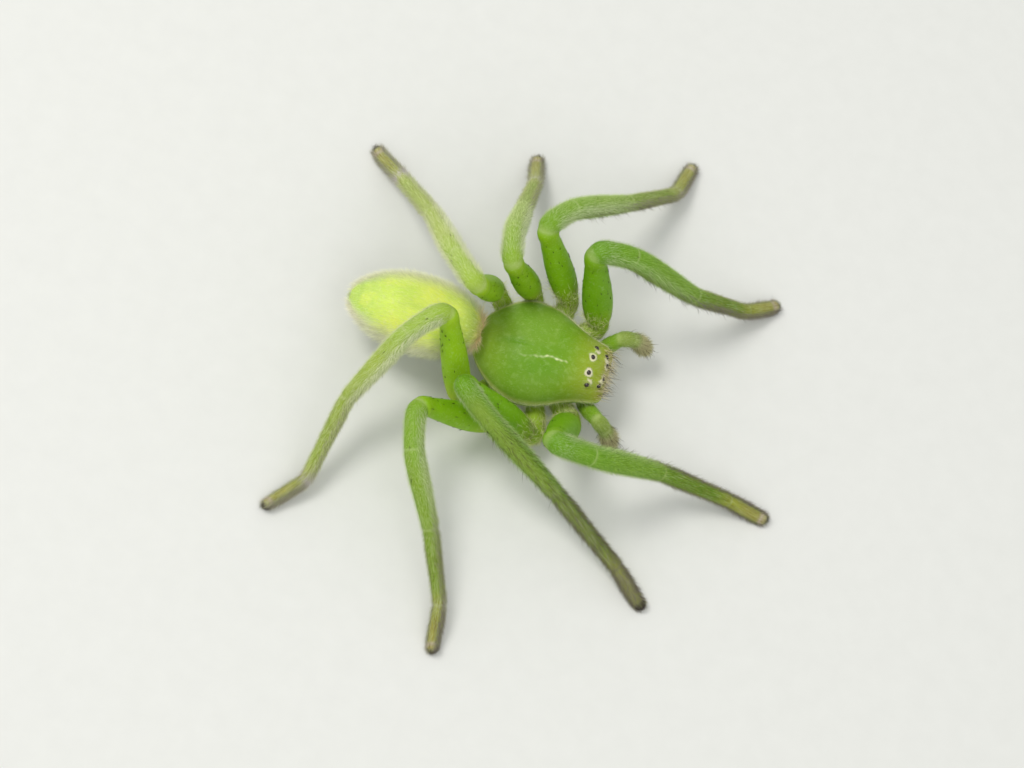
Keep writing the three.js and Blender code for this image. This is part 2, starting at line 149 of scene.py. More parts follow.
def mix(first: Array, second: Array | Color, share: Array) -> Array:
    """Colours between two, by a share for each point."""
    weight = np.clip(share, 0, 1)[..., None]
    return first * (1 - weight) + np.asarray(second, float) * weight


def layered(tints: dict[str, Array | Color], shape: tuple[int, ...], **shares: Array) -> Array:
    """A base tint under others, each laid over the ones before it.

    Args:
        tints: Each tint by its name, with the lowest one as the base.
        shape: Rows and columns.
        shares: How much of each tint there is at each point, in the order of the layers.

    Returns:
        One colour for each point.
    """
    color = flat(tints["base"], shape)
    for name, share in shares.items():
        color = mix(color, tints[name], share)
    return color


def unit(vectors: Array) -> Array:
    """Each vector at length 1."""
    return vectors / np.maximum(np.linalg.norm(vectors, axis=-1, keepdims=True), 1e-12)


def heading(turn: float, pitch: float, sign: int) -> Array:
    """Direction from its turn away from straight ahead and its pitch above level."""
    a, e = math.radians(turn), math.radians(pitch)
    return np.array([math.cos(e) * math.cos(a), sign * math.cos(e) * math.sin(a), math.sin(e)])


@dataclass
class Skin:
    """A closed surface of rows of points, with a pole at each end.

    Attributes:
        rows: Points in millimetres, as rows by columns by 3.
        along: Direction in which hairs lie at each point, in the same layout.
        tint: Colour of each point, in the same layout.
        extras: More values for the finish, by their names, in the same layout.
    """

    rows: Array
    along: Array
    tint: Array
    extras: dict[str, Array] = field(default_factory=dict)

    def spread(self, values: Array) -> Array:
        """Values of the grid with one more for each pole, as one list."""
        poles = np.stack([values[0].mean(axis=0), values[-1].mean(axis=0)])
        return np.concatenate([values.reshape(-1, *values.shape[2:]), poles])

    def faces(self) -> tuple[list[tuple[int, ...]], Array]:
        """Faces and their unwrap.

        Returns:
            The faces, and the place of each face corner on an unwrap of rows and columns.
        """
        m, k = self.rows.shape[:2]
        i, j = np.meshgrid(np.arange(m - 1), np.arange(k), indexing="ij")
        after = (j + 1) % k
        quads = np.stack([i * k + j, i * k + after, (i + 1) * k + after, (i + 1) * k + j], -1)
        u = np.stack([j, j + 1, j + 1, j], -1) / k
        v = (np.stack([i, i, i + 1, i + 1], -1) + 1) / (m + 1)
        column = np.arange(k)
        first = np.stack([np.full(k, m * k), (column + 1) % k, column], -1)
        last = np.stack([np.full(k, m * k + 1), (m - 1) * k + column, (m - 1) * k + (column + 1) % k], -1)
        near = np.stack([column + 0.5, column + 1, column], -1)
        far = np.stack([column + 0.5, column, column + 1], -1)
        low = np.tile([0, 1 / (m + 1), 1 / (m + 1)], (k, 1))
        high = np.tile([1, m / (m + 1), m / (m + 1)], (k, 1))
        corners = np.concatenate([
            np.stack([u, v], -1).reshape(-1, 2), np.stack([near / k, low], -1).reshape(-1, 2),
            np.stack([far / k, high], -1).reshape(-1, 2),
        ])
        polygons = [tuple(q) for q in quads.reshape(-1, 4).tolist()]
        polygons += [tuple(t) for t in first.tolist()] + [tuple(t) for t in last.tolist()]
        return polygons, corners

    def mesh(self, name: str) -> bpy.types.Mesh:
        """The skin as a mesh with its tint and its unwrap, faces outwards.

        Args:
            name: Name of the mesh.

        Returns:
            A mesh in metres.
        """
        points = self.spread(self.rows) * MM
        points[:, 2] = np.maximum(points[:, 2], GROUND_CLEARANCE * MM)
        polygons, corners = self.faces()
        mesh = bpy.data.meshes.new(name)
        mesh.from_pydata(points.tolist(), [], polygons)
        layer = mesh.uv_layers.new(name=SKIN_MAP)
        layer.uv.foreach_set("vector", corners.astype(np.float32).ravel())
        set_colors(mesh, "tint", self.spread(self.tint))
        for key, values in self.extras.items():
            set_values(mesh, key, self.spread(values))
        if signed_volume(mesh) < 0:
            mesh.flip_normals()
        mesh.polygons.foreach_set("use_smooth", np.ones(len(mesh.polygons), bool))
        mesh.update()
        return mesh

    def piece(self, name: str, finish: "Finish", slot: Slot, nodes: Iterable[str] = ()) -> None:
        """Makes the skin a finished piece.

        Args:
            name: Name of the piece.
            finish: Its finish.
            slot: Not used.
            nodes: Solids that it stands for.
        """
        made = add_object(name, self.mesh(name))
        made.data.materials.append(finish.material())
        settle(made, nodes)


def signed_volume(mesh: bpy.types.Mesh) -> float:
    """Volume inside a closed mesh, six times over.

    Args:
        mesh: The mesh.

    Returns:
        The volume, below 0 where the faces point inwards.
    """
    mesh.calc_loop_triangles()
    triangles = np.zeros(len(mesh.loop_triangles) * 3, np.int32)
    mesh.loop_triangles.foreach_get("vertices", triangles)
    points = np.zeros(len(mesh.vertices) * 3)
    mesh.vertices.foreach_get("co", points)
    a, b, c = points.reshape(-1, 3)[triangles.reshape(-1, 3)].transpose(1, 0, 2)
    return float(np.einsum("ij,ij->i", a, np.cross(b, c)).sum())


def set_colors(mesh: bpy.types.Mesh, name: str, colors: Array) -> None:
    """Stores one colour for each point of a mesh."""
    full = np.concatenate([colors, np.ones((len(colors), 1))], axis=1).astype(np.float32)
    mesh.attributes.new(name, "FLOAT_COLOR", "POINT").data.foreach_set("color", full.ravel())


def set_values(mesh: bpy.types.Mesh, name: str, values: Array) -> None:
    """Stores one number or one vector for each point of a mesh."""
    kind, key = ("FLOAT", "value") if values.ndim == 1 else ("FLOAT_VECTOR", "vector")
    mesh.attributes.new(name, kind, "POINT").data.foreach_set(key, values.astype(np.float32).ravel())


def add_object(name: str, data: bpy.types.ID) -> bpy.types.Object:
    """A new object at the origin, linked to the scene.

    Args:
        name: Its name.
        data: Its mesh, lamp or camera.

    Returns:
        The object.
    """
    made = bpy.data.objects.new(name, data)
    bpy.context.scene.collection.objects.link(made)
    return made


def settle(piece: bpy.types.Object, nodes: Iterable[str] = ()) -> None:
    """Lets a finished piece ride on the body and stand for its solids.

    Args:
        piece: The finished piece.
        nodes: Solids that it stands for.
    """
    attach(piece, "root")
    if nodes:
        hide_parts(*nodes)
    log.info("%s: %d faces", piece.name, len(piece.data.polygons))


class Sheet:
    """A short way to add and link the nodes of one tree."""

    def __init__(self, tree: bpy.types.NodeTree) -> None:
        """Starts on a tree."""
        self.tree = tree

    def add(self, kind: str, inputs: dict[str, object] | None = None, **settings: object) -> bpy.types.Node:
        """Adds a node, sets it up and fills its inputs.

        Args:
            kind: Type of the node.
            inputs: A value or a socket for each named input.
            settings: The node's own settings.

        Returns:
            The new node.
        """
        node = self.tree.nodes.new(kind)
        for key, value in settings.items():
            setattr(node, key, value)
        for key, value in (inputs or {}).items():
            self.fill(self.socket(node.inputs, key), value)
        return node

    def fill(self, socket: bpy.types.NodeSocket, value: object) -> None:
        """Fills an input.

        Args:
            socket: The input.
            value: Another socket to link it to, or a value.
        """
        if isinstance(value, bpy.types.NodeSocket):
            self.tree.links.new(value, socket)
        else:
            socket.default_value = value

    @staticmethod
    def socket(sockets: Sequence[bpy.types.NodeSocket], key: str) -> bpy.types.NodeSocket:
        """The socket in use with that name, or with that number where a node has names twice."""
        named = (s for s in sockets if s.name == key and s.enabled)
        return sockets[int(key)] if key.isdigit() else next(named)

    def vector(self, operation: str, first: object, second: object = None, scale: object = None) -> object:
        """Result of a vector sum on one or two inputs."""
        given = {key: v for key, v in (("0", first), ("1", second), ("Scale", scale)) if v is not None}
        return self.add("ShaderNodeVectorMath", given, operation=operation).outputs[0]

    def number(self, operation: str, first: object, second: object = 0.0) -> object:
        """Result of a sum on two numbers."""
        return self.add("ShaderNodeMath", {"0": first, "1": second}, operation=operation).outputs[0]


class CoatTree:
    """The tree that sets hairs all over a skin, each at its own angle, length and shade."""

    INPUTS = {
        "Skin": "NodeSocketGeometry", "Hair": "NodeSocketObject", "Density": "NodeSocketFloat",
        "Stray": "NodeSocketFloat", "Uneven": "NodeSocketFloat", "Patch": "NodeSocketFloat",
        "Seed": "NodeSocketInt", "Finish": "NodeSocketMaterial",
    }
    LENGTH_DRAW = 1.0
    SHADE_DRAW = 2.0

    def __init__(self) -> None:
        """Builds the tree once, for all coats."""
        self.tree = bpy.data.node_groups.new("coat", "GeometryNodeTree")
        self.identifiers = {}
        for name, kind in self.INPUTS.items():
            socket = self.tree.interface.new_socket(name, in_out="INPUT", socket_type=kind)
            self.identifiers[name] = socket.identifier
        self.tree.interface.new_socket("Coat", in_out="OUTPUT", socket_type="NodeSocketGeometry")
        self.build()

    def build(self) -> None:
        """Scatters roots, turns a hair at each and sets the bake map and the finish."""
        s = Sheet(self.tree)
        given = s.add("NodeGroupInput").outputs
        weight = self.named(s, "weight", "FLOAT")
        density = s.number("MULTIPLY", given["Density"], weight)
        roots = s.add("GeometryNodeDistributePointsOnFaces", {
            "Mesh": given["Skin"], "Density": density, "Seed": given["Seed"],
        }, distribute_method="RANDOM")
        normal = roots.outputs["Normal"]
        across = s.vector("CROSS_PRODUCT", normal, self.named(s, "lie", "FLOAT_VECTOR"))
        lie = s.vector("NORMALIZE", s.vector("CROSS_PRODUCT", across, normal))
        lift = self.named(s, "lift", "FLOAT")
        rise = s.vector("SCALE", normal, scale=s.number("SINE", lift))
        run = s.vector("SCALE", lie, scale=s.number("COSINE", lift))
        loose = s.add("FunctionNodeRandomValue", {
            "Min": (-1.0, -1.0, -1.0), "Max": (1.0, 1.0, 1.0), "Seed": given["Seed"],
        }, data_type="FLOAT_VECTOR").outputs[0]
        stray = s.vector("SCALE", loose, scale=given["Stray"])
        way = s.vector("ADD", s.vector("ADD", rise, run), stray)
        turned = s.add("FunctionNodeAxesToRotation", {"Primary Axis": way, "Secondary Axis": lie},
                       primary_axis="Z", secondary_axis="X")
        longer, shorter = s.number("ADD", 1.0, given["Uneven"]), s.number("SUBTRACT", 1.0, given["Uneven"])
        size = s.add("FunctionNodeRandomValue", {
            "Min": shorter, "Max": longer, "Seed": s.number("ADD", given["Seed"], self.LENGTH_DRAW),
        }, data_type="FLOAT").outputs[1]
        reach = s.number("MULTIPLY", size, self.named(s, "reach", "FLOAT"))
        shade = s.add("FunctionNodeRandomValue", {
            "Min": 0.0, "Max": 1.0, "Seed": s.number("ADD", given["Seed"], self.SHADE_DRAW),
        }, data_type="FLOAT").outputs[1]
        marked = s.add("GeometryNodeStoreNamedAttribute", {
            "Geometry": roots.outputs["Points"], "Name": "shade", "Value": shade,
        }, data_type="FLOAT", domain="POINT")
        hair = s.add("GeometryNodeObjectInfo", {"Object": given["Hair"]}, transform_space="ORIGINAL")
        placed = s.add("GeometryNodeInstanceOnPoints", {
            "Points": marked.outputs[0], "Instance": hair.outputs["Geometry"],
            "Rotation": turned.outputs[0], "Scale": reach,
        })
        real = s.add("GeometryNodeRealizeInstances", {"Geometry": placed.outputs[0]})
        local = s.vector("SCALE", self.named(s, "hair_map", "FLOAT_VECTOR"), scale=given["Patch"])
        root = s.vector("SCALE", self.named(s, SKIN_MAP, "FLOAT_VECTOR"),
                        scale=s.number("SUBTRACT", 1.0, given["Patch"]))
        mapped = s.add("GeometryNodeStoreNamedAttribute", {
            "Geometry": real.outputs[0], "Name": BAKE_MAP, "Value": s.vector("ADD", local, root),
        }, data_type="FLOAT2", domain="CORNER")
        finished = s.add("GeometryNodeSetMaterial", {
            "Geometry": mapped.outputs[0], "Material": given["Finish"],
        })
        s.add("NodeGroupOutput", {"Coat": finished.outputs[0]})

    @staticmethod
    def named(sheet: Sheet, name: str, kind: str) -> object:
        """Reads a value that the skin carries."""
        node = sheet.add("GeometryNodeInputNamedAttribute", {"Name": name}, data_type=kind)
        return Sheet.socket(node.outputs, "Attribute")


@dataclass
class Growth:
    """How a coat grows over the points of one skin.

    Attributes:
        weight: Share of the full density at each point.
        lift: Angle between hair and skin, in radians.
        reach: Share of the full length.
        tint: Colour of the hairs.
        lie: Direction in which the hairs lean, or nothing for the skin's own.
    """

    weight: Array | float
    lift: Array | float
    reach: Array | float
    tint: Array | Color
    lie: Array | None = None


@dataclass(frozen=True)
class Coat:
    """One kind of hair and how densely it stands.

    Attributes:
        density: Hairs on each square millimetre where the weight is 1.
        length: Length of a hair.
        width: Thickness of a hair at its root.
        seed: Fixes its random draws.
        bend: How far the tip leans along the lie, as a share of the length.
        stray: How much each hair leaves the lie.
        uneven: How much the lengths differ, as a share.
        joints: Rings of each hair before its tip.
    """

    density: float
    length: float
    width: float
    seed: int
    bend: float = 0.25
    stray: float = 0.25
    uneven: float = 0.35
    joints: int = 2

    SIDES = 3
    TAPER = 0.75
    PATCH = 0.003
    KEPT = (
        "tint", "shade", BAKE_MAP, "position", ".edge_verts", ".corner_vert", ".corner_edge", "sharp_face")

    def hair(self) -> bpy.types.Object:
        """One hair at its real size, standing along +Z and leaning to +X.

        Returns:
            An object that the tree takes its hairs from.
        """
        points, corners, faces = [], [], []
        for ring in range(self.joints):
            share = ring / self.joints
            radius = self.width / 2 * (1 - self.TAPER * share)
            lean = self.bend * self.length * share ** 2
            for side in range(self.SIDES):
                angle = 2 * math.pi * side / self.SIDES
                x, y = lean + radius * math.cos(angle), radius * math.sin(angle)
                points.append((x, y, self.length * share))
        points.append((self.bend * self.length, 0, self.length))
        for ring in range(self.joints - 1):
            low, high = ring * self.SIDES, (ring + 1) * self.SIDES
            start, end = ring / self.joints, (ring + 1) / self.joints
            for side in range(self.SIDES):
                after = (side + 1) % self.SIDES
                faces.append((low + side, low + after, high + after, high + side))
                u, v = side / self.SIDES, (side + 1) / self.SIDES
                corners += [(u, start), (v, start), (v, end), (u, end)]
        last, tip = (self.joints - 1) * self.SIDES, self.joints * self.SIDES
        below = (self.joints - 1) / self.joints
        for side in range(self.SIDES):
            faces.append((last + side, last + (side + 1) % self.SIDES, tip))
            corners += [(side / 3, below), ((side + 1) / 3, below), ((side + 0.5) / 3, 1)]
        faces.append((2, 1, 0))
        corners += [(0, 0), (1 / 3, 0), (2 / 3, 0)]
        mesh = bpy.data.meshes.new("hair")
        mesh.from_pydata([tuple(c * MM for c in p) for p in points], [], faces)
        mesh.uv_layers.new(name="hair_map").uv.foreach_set("vector", np.array(corners, np.float32).ravel())
        mesh.update()
        return add_object("hair", mesh)

    def grow(self, name: str, skin: Skin, growth: Growth, slot: Slot, turn: int = 0) -> None:
        """Grows this coat on a skin, as a piece of its own.

        Args:
            name: Name of the new piece.
            skin: What the hairs stand on.
            growth: Where they stand, and how long, lifted and coloured they are there.
            slot: Not used.
            turn: Added to the seed, so that no two pieces draw alike.
        """
        carrier, hair = add_object("carrier", self.carrier(skin, growth)), self.hair()
        finish = HairFinish().material()
        hair.data.materials.append(finish)
        modifier = carrier.modifiers.new("coat", "NODES")
        modifier.node_group = COATS.tree
        inputs = {
            "Hair": hair, "Density": self.density / MM ** 2, "Stray": self.stray, "Uneven": self.uneven,
            "Patch": self.PATCH, "Seed": self.seed + turn, "Finish": finish,
        }
        for key, value in inputs.items():
            modifier[COATS.identifiers[key]] = value
        graph = bpy.context.evaluated_depsgraph_get()
        mesh = bpy.data.meshes.new_from_object(
            carrier.evaluated_get(graph), preserve_all_data_layers=True, depsgraph=graph)
        mesh.name = name
        carrier.modifiers.remove(modifier)
        for spare in (carrier, hair):
            data = spare.data
            bpy.data.objects.remove(spare)
            bpy.data.meshes.remove(data)
        self.clean(mesh)
        settle(add_object(name, mesh))

    @staticmethod
    def carrier(skin: Skin, growth: Growth) -> bpy.types.Mesh:
        """The skin's mesh with all values that the tree reads.

        Args:
            skin: What the hairs stand on.
            growth: The values.

        Returns:
            A mesh for the modifier.
        """
        shape = skin.rows.shape[:2]
        base = skin.mesh("carrier")
        base.attributes.remove(base.attributes["tint"])
        set_colors(base, "tint", skin.spread(flat(growth.tint, shape)))
        for key in ("weight", "lift", "reach"):
            set_values(base, key, skin.spread(np.broadcast_to(getattr(growth, key), shape)))
        set_values(base, "lie", skin.spread(skin.along if growth.lie is None else growth.lie))
        return base

    def clean(self, mesh: bpy.types.Mesh) -> None:
        """Lays hairs that reach below the ground on it, and drops values that only the tree needs.

        Args:
            mesh: The grown coat.
        """
        points = np.zeros(len(mesh.vertices) * 3, np.float32)
        mesh.vertices.foreach_get("co", points)
        heights = points.reshape(-1, 3)[:, 2]
        np.maximum(heights, GROUND_CLEARANCE * MM / 2, out=heights)
        mesh.vertices.foreach_set("co", points)
        for spare in [a.name for a in mesh.attributes if a.name not in self.KEPT and not a.is_internal]:
            mesh.attributes.remove(mesh.attributes[spare])
        mesh.update()


class Paint(Sheet):
    """The nodes of one finish, with the shader that they end in."""

    ROUGHNESS = 0.55
    GLOW = (0.8, 1.0, 0.25)

    def __init__(self, material: bpy.types.Material) -> None:
        """Starts on a new material."""
        super().__init__(material.node_tree)
        self.shader = material.node_tree.nodes["Principled BSDF"]

    def noise(self, grain: float, detail: float = 3.0, stretch: Point = (1, 1, 1)) -> object:
        """Noise over the piece's own place.

        Args:
            grain: Size of its patches in millimetres.
            detail: How many finer layers it has.
            stretch: How much finer it is along each axis.

        Returns:
            A socket with values round a half.
        """
        scaled = self.vector("MULTIPLY", self.add("ShaderNodeTexCoord").outputs["Object"], stretch)
        return self.add("ShaderNodeTexNoise", {
            "Vector": scaled, "Scale": 1 / (grain * MM), "Detail": detail, "Roughness": self.ROUGHNESS,
        }).outputs["Fac"]

    def streaks(self, width: float, length: float) -> object:
        """Noise drawn out along a limb's own flow, in streaks of that many millimetres."""
        scaled = self.vector("MULTIPLY", self.carried("flow", "Vector"), (1 / length, 1 / width, 1 / width))
        return self.add("ShaderNodeTexNoise", {"Vector": scaled, "Scale": 1.0, "Detail": 2.0}).outputs["Fac"]

    def carried(self, name: str, output: str) -> object:
        """A value that the piece carries at each point."""
        return self.add("ShaderNodeAttribute", attribute_name=name).outputs[output]

    def tint(self) -> object:
        """The colour that the piece carries at each point."""
        return self.carried("tint", "Color")

    def band(self, value: object, low: float, high: float, start: float, end: float) -> object:
        """The value moved from one range to another."""
        return self.add("ShaderNodeMapRange", {
            "Value": value, "From Min": low, "From Max": high, "To Min": start, "To Max": end,
        }).outputs["Result"]

    def blend(self, first: object, second: object, share: object, kind: str = "MIX") -> object:
        """Two colours mixed.

        Args:
            first: A socket or a plain colour.
            second: A socket or a plain colour.
            share: How much of the second one there is.
            kind: How they are mixed.

        Returns:
            A socket with the mixed colour.
        """
        node = self.add("ShaderNodeMix", data_type="RGBA", blend_type=kind)
        for key, value in (("Factor", share), ("A", first), ("B", second)):
            self.fill(self.socket(node.inputs, key), (*value, 1) if isinstance(value, tuple) else value)
        return self.socket(node.outputs, "Result")

    def patch(self, color: object, tint: Color, pattern: object, span: Point, kind: str = "MIX") -> object:
        """Lays a tint over a colour where a pattern is high."""
        start, full, share = span
        return self.blend(color, tint, self.band(pattern, start, full, 0, share), kind)

    def bumped(self, height: object, depth: float, strength: object, below: object = None) -> object:
        """A normal raised by a height.

        Args:
            height: Height from 0 to 1.
            depth: Height of 1 in millimetres.
            strength: Share of the effect.
            below: Normal that it adds to.

        Returns:
            The new normal.
        """
        node = self.add("ShaderNodeBump", {"Height": height, "Distance": depth * MM, "Strength": strength})
        if below is not None:
            self.fill(node.inputs["Normal"], below)
        return node.outputs["Normal"]

    def link(self, name: str, value: object) -> None:
        """Links an input of the shader."""
        self.fill(self.shader.inputs[name], value)

    def cover(self, color: object, pattern: object, rough: Sequence[float], span: Sequence[float]) -> None:
        """Gives the shader its colour, and a roughness that follows a pattern over a span of it."""
        self.link("Base Color", color)
        self.link("Roughness", self.band(pattern, *span, *rough))

    def soften(self, weight: float, reach: float) -> None:
        """Lets green light wander under the surface, by a reach in millimetres."""
        fix(self.shader, {
            "Subsurface Weight": weight, "Subsurface Radius": self.GLOW, "Subsurface Scale": reach * MM,
        })


def fix(node: bpy.types.Node, values: dict[str, object]) -> None:
    """Sets inputs of a node that are the same all over."""
    for key, value in values.items():
        node.inputs[key].default_value = value


class Finish:
    """A procedural finish, made as a material when it is first used."""

    MIDDLE = (0.3, 0.7)
    made: dict[str, bpy.types.Material] = {}

    def material(self) -> bpy.types.Material:
        """The finish's material.

        Returns:
            The same material each time.
        """
        name = type(self).__name__
        if name not in Finish.made:
            made = bpy.data.materials.new(name)
            made.use_nodes = True
            self.paint(Paint(made))
            Finish.made[name] = made
        return Finish.made[name]

    def paint(self, s: Paint) -> None:
        """Adds the finish's own nodes to those of a new material."""
        raise NotImplementedError


@dataclass(frozen=True)
class CuticleFinish(Finish):
    """Smooth, slightly see-through cuticle of the legs and the face.

    Attributes:
        blotch: Size of its soft lighter and darker patches.
        pore: Size of the pits that the hairs leave.
        pit: Depth of these pits.
        line: Width of the fine lines that run along a limb.
        shadow: Tint of the darker patches.
        groove: Tint of the dark lines.
        ridge: Tint of the light lines.
        dust: Tint of the grain.
    """

    blotch: float = 0.8
    pore: float = 0.06
    pit: float = 0.012
    line: float = 0.045
    shadow: Color = (0.70, 0.78, 0.50)
    groove: Color = (0.50, 0.42, 0.36)
    ridge: Color = (0.80, 0.84, 0.56)
    dust: Color = (1.0, 1.0, 0.7)

    def paint(self, s: Paint) -> None:
        """Patches, fine lengthwise lines, grain and pits over the tint.

        Args:
            s: The new material's nodes.
        """
        patches = s.noise(self.blotch)
        color = s.patch(s.tint(), self.shadow, patches, (0.45, 0.72, 0.4), "MULTIPLY")
        lines = s.streaks(self.line, 14 * self.line)
        lined = s.carried("lined", "Fac")
        dark = s.number("MULTIPLY", s.band(lines, 0.52, 0.66, 0, 0.75), lined)
        color = s.blend(color, self.groove, dark, "MULTIPLY")
        light = s.number("MULTIPLY", s.band(lines, 0.46, 0.32, 0, 0.3), lined)
        color = s.blend(color, self.ridge, light)
        grain = s.noise(self.pore * 2.5, 2.0)
        color = s.patch(color, self.dust, grain, (0.55, 0.8, 0.10))
        pores = s.noise(self.pore, 1.0)
        s.cover(color, patches, (0.42, 0.58), self.MIDDLE)
        ridged = s.bumped(lines, 0.03, lined)
        s.link("Normal", s.bumped(pores, self.pit, 0.4, ridged))
        s.soften(0.3, 0.35)
        fix(s.shader, {"Specular IOR Level": 0.22})


@dataclass(frozen=True)
class ShieldFinish(Finish):
    """Satin plate of the carapace, with a faint clear top layer.

    Attributes:
        cloud: Size of the soft patches under the gloss.
        ripple: Size of the faint unevenness of the gloss.
        shadow: Tint of the soft patches.
        mottle: Tint of the smaller spots.
        dust: Tint of the grain.
    """

    cloud: float = 1.3
    ripple: float = 0.3
    shadow: Color = (0.78, 0.92, 0.45)
    mottle: Color = (0.62, 0.80, 0.30)
    dust: Color = (0.80, 0.94, 0.45)

    def paint(self, s: Paint) -> None:
        """Cloudy green with pale dust under a clear, faintly uneven top layer.

        Args:
            s: The new material's nodes.
        """
        clouds = s.noise(self.cloud)
        color = s.patch(s.tint(), self.shadow, clouds, (0.45, 0.72, 0.5), "MULTIPLY")
        color = s.patch(color, self.mottle, s.noise(0.34), (0.52, 0.74, 0.18))
        grain = s.noise(0.09, 2.0)
        color = s.patch(color, self.dust, grain, (0.58, 0.78, 0.12))
        s.cover(color, grain, (0.42, 0.54), self.MIDDLE)
        low = s.bumped(s.noise(self.ripple), 0.012, 0.3)
        s.link("Normal", s.bumped(grain, 0.006, 0.3, low))
        s.link("Coat Normal", low)
        fix(s.shader, {"Coat Weight": 0.06, "Coat Roughness": 0.25, "Specular IOR Level": 0.26})
        s.soften(0.25, 0.35)


@dataclass(frozen=True)
class AbdomenFinish(Finish):
    """Soft, pale skin of the abdomen, with lemon clouds and fine lengthwise folds.

    Attributes:
        cloud: Size of the lemon clouds.
        fold: Distance between the fine folds.
        lemon: Tint of the clouds.
        fleck: Tint of the pale flecks.
    """

    cloud: float = 1.1
    fold: float = 0.1
    lemon: Color = (0.95, 0.98, 0.13)
    fleck: Color = (1.0, 1.0, 0.62)

    def paint(self, s: Paint) -> None:
        """Clouds, pale flecks and folds.

        Args:
            s: The new material's nodes.
        """
        clouds = s.noise(self.cloud, 4.0)
        color = s.patch(s.tint(), self.lemon, clouds, (0.5, 0.66, 0.45))
        color = s.patch(color, self.fleck, s.noise(0.16, 2.0), (0.55, 0.75, 0.35))
        folds = s.noise(self.fold, 3.0, (0.35, 1, 1))
        s.cover(color, folds, (0.5, 0.68), self.MIDDLE)
        s.link("Normal", s.bumped(folds, 0.03, 0.5))
        fix(s.shader, {"Specular IOR Level": 0.25})
        s.soften(0.35, 0.5)


@dataclass(frozen=True)
class HairFinish(Finish):
    """Fine hair in the tint of its root, each one a little lighter or darker.

    Attributes:
        darkest: Share of the tint in the darkest hair.
        lightest: Share of the tint in the lightest hair.
    """

    darkest: float = 0.72
    lightest: float = 1.18

    MIDDLE = (0, 1)

    def paint(self, s: Paint) -> None:
        """The tint, scaled by each hair's own shade.

        Args:
            s: The new material's nodes.
        """
        shade = s.carried("shade", "Fac")
        level = s.band(shade, 0, 1, self.darkest, self.lightest)
        color = s.vector("SCALE", s.tint(), scale=level)
        s.cover(color, shade, (0.55, 0.75), self.MIDDLE)
        fix(s.shader, {"Specular IOR Level": 0.2})


@dataclass(frozen=True)
class EyeFinish(Finish):
    """Polished eye, near black with faint clouds of brown."""

    brown: Color = (0.05, 0.018, 0.014)

    def paint(self, s: Paint) -> None:
        """Faint brown cloud under a clear lens.

        Args:
            s: The new material's nodes.
        """
        cloud = s.noise(0.08, 2.0)
        color = s.patch(s.tint(), self.brown, cloud, (0.45, 0.7, 0.6))
        s.cover(color, cloud, (0.1, 0.16), self.MIDDLE)
        fix(s.shader, {"Coat Weight": 0.5, "Coat Roughness": 0.06})


@dataclass(frozen=True)
class ClawFinish(Finish):
    """Hard, dark horn of the claws and the fangs."""

    brown: Color = (0.16, 0.05, 0.02)

    def paint(self, s: Paint) -> None:
        """Streaky brown horn.

        Args:
            s: The new material's nodes.
        """
        streaks = s.noise(0.05)
        color = s.patch(s.tint(), self.brown, streaks, (0.45, 0.7, 0.5))
        s.cover(color, streaks, (0.22, 0.34), self.MIDDLE)


@dataclass(frozen=True)
class FloorFinish(Finish):
    """Plain pale ground."""

    tone: Color = (0.80, 0.80, 0.78)
    grain: Color = (0.76, 0.76, 0.74)

    def paint(self, s: Paint) -> None:
        """One pale tone with the faintest grain.

        Args:
            s: The new material's nodes.
        """
        pattern = s.noise(1.2, 2.0)
        s.link("Base Color", s.blend(self.tone, self.grain, pattern))
        fix(s.shader, {"Roughness": 0.8, "Specular IOR Level": 0.15})


@dataclass(frozen=True)
class Eye:
    """One pair of eyes.

    Attributes:
        name: Name of its solids, without the side.
        ahead: Its place ahead.
        aside: Its place aside.
        radius: Radius of its lens.
        shine: How white the ring round it is.
        gap: How much of the ring is missing on its outer side.
        turned: How far the lens sits on the outer side of its knob.
    """

    name: str
    ahead: float
    aside: float
    radius: float
    shine: float
    gap: float
    turned: float


EYES = (
    Eye("eye_pme", 2.44, 0.43, 0.14, 1.0, 0.0, 0.0),
    Eye("eye_ple", 2.54, 0.98, 0.14, 1.0, 0.9, 0.09),
    Eye("eye_ame", 3.33, 0.36, 0.13, 0.6, 0.6, 0.02),
    Eye("eye_ale", 3.2, 0.76, 0.14, 0.95, 0.9, 0.09),
)


@dataclass
class BodyAxes:
    """How the body lies over the ground.

    Attributes:
        height: Height of the body's own origin.
        roll: Degrees that its left side is raised.
        pitch: Degrees that its head is lowered.
        shift: From the body's own origin to the frame's, along the ground.
    """

    height: float = 2.1
    roll: float = 8.2
    pitch: float = -1.0
    shift: Array = field(default_factory=lambda: np.zeros(3))

    def __post_init__(self) -> None:
        """Works out the turn."""
        roll = Matrix.Rotation(math.radians(self.roll), 3, "X")
        self.turn = np.array(roll @ Matrix.Rotation(math.radians(self.pitch), 3, "Y"))

    def place(self, points: Array) -> Array:
        """Points of the body's own axes, on the frame's axes."""
        return self.lead(points) + np.array([0, 0, self.height]) + self.shift

    def lead(self, directions: Array) -> Array:
        """Directions of the body's own axes, on the frame's axes."""
        return np.asarray(directions, float) @ self.turn.T

    def anchor(self, node: str, centre: Array) -> None:
        """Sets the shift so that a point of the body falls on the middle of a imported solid.

        Args:
            node: A solid that is alike on all sides of its middle.
            centre: Where its middle is on the body's own axes.
        """
        low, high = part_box(node)
        self.shift = np.zeros(3)
        middle = np.array((low + high) / 2) / MM
        self.shift = (middle - self.place(centre)) * np.array([1, 1, 0])


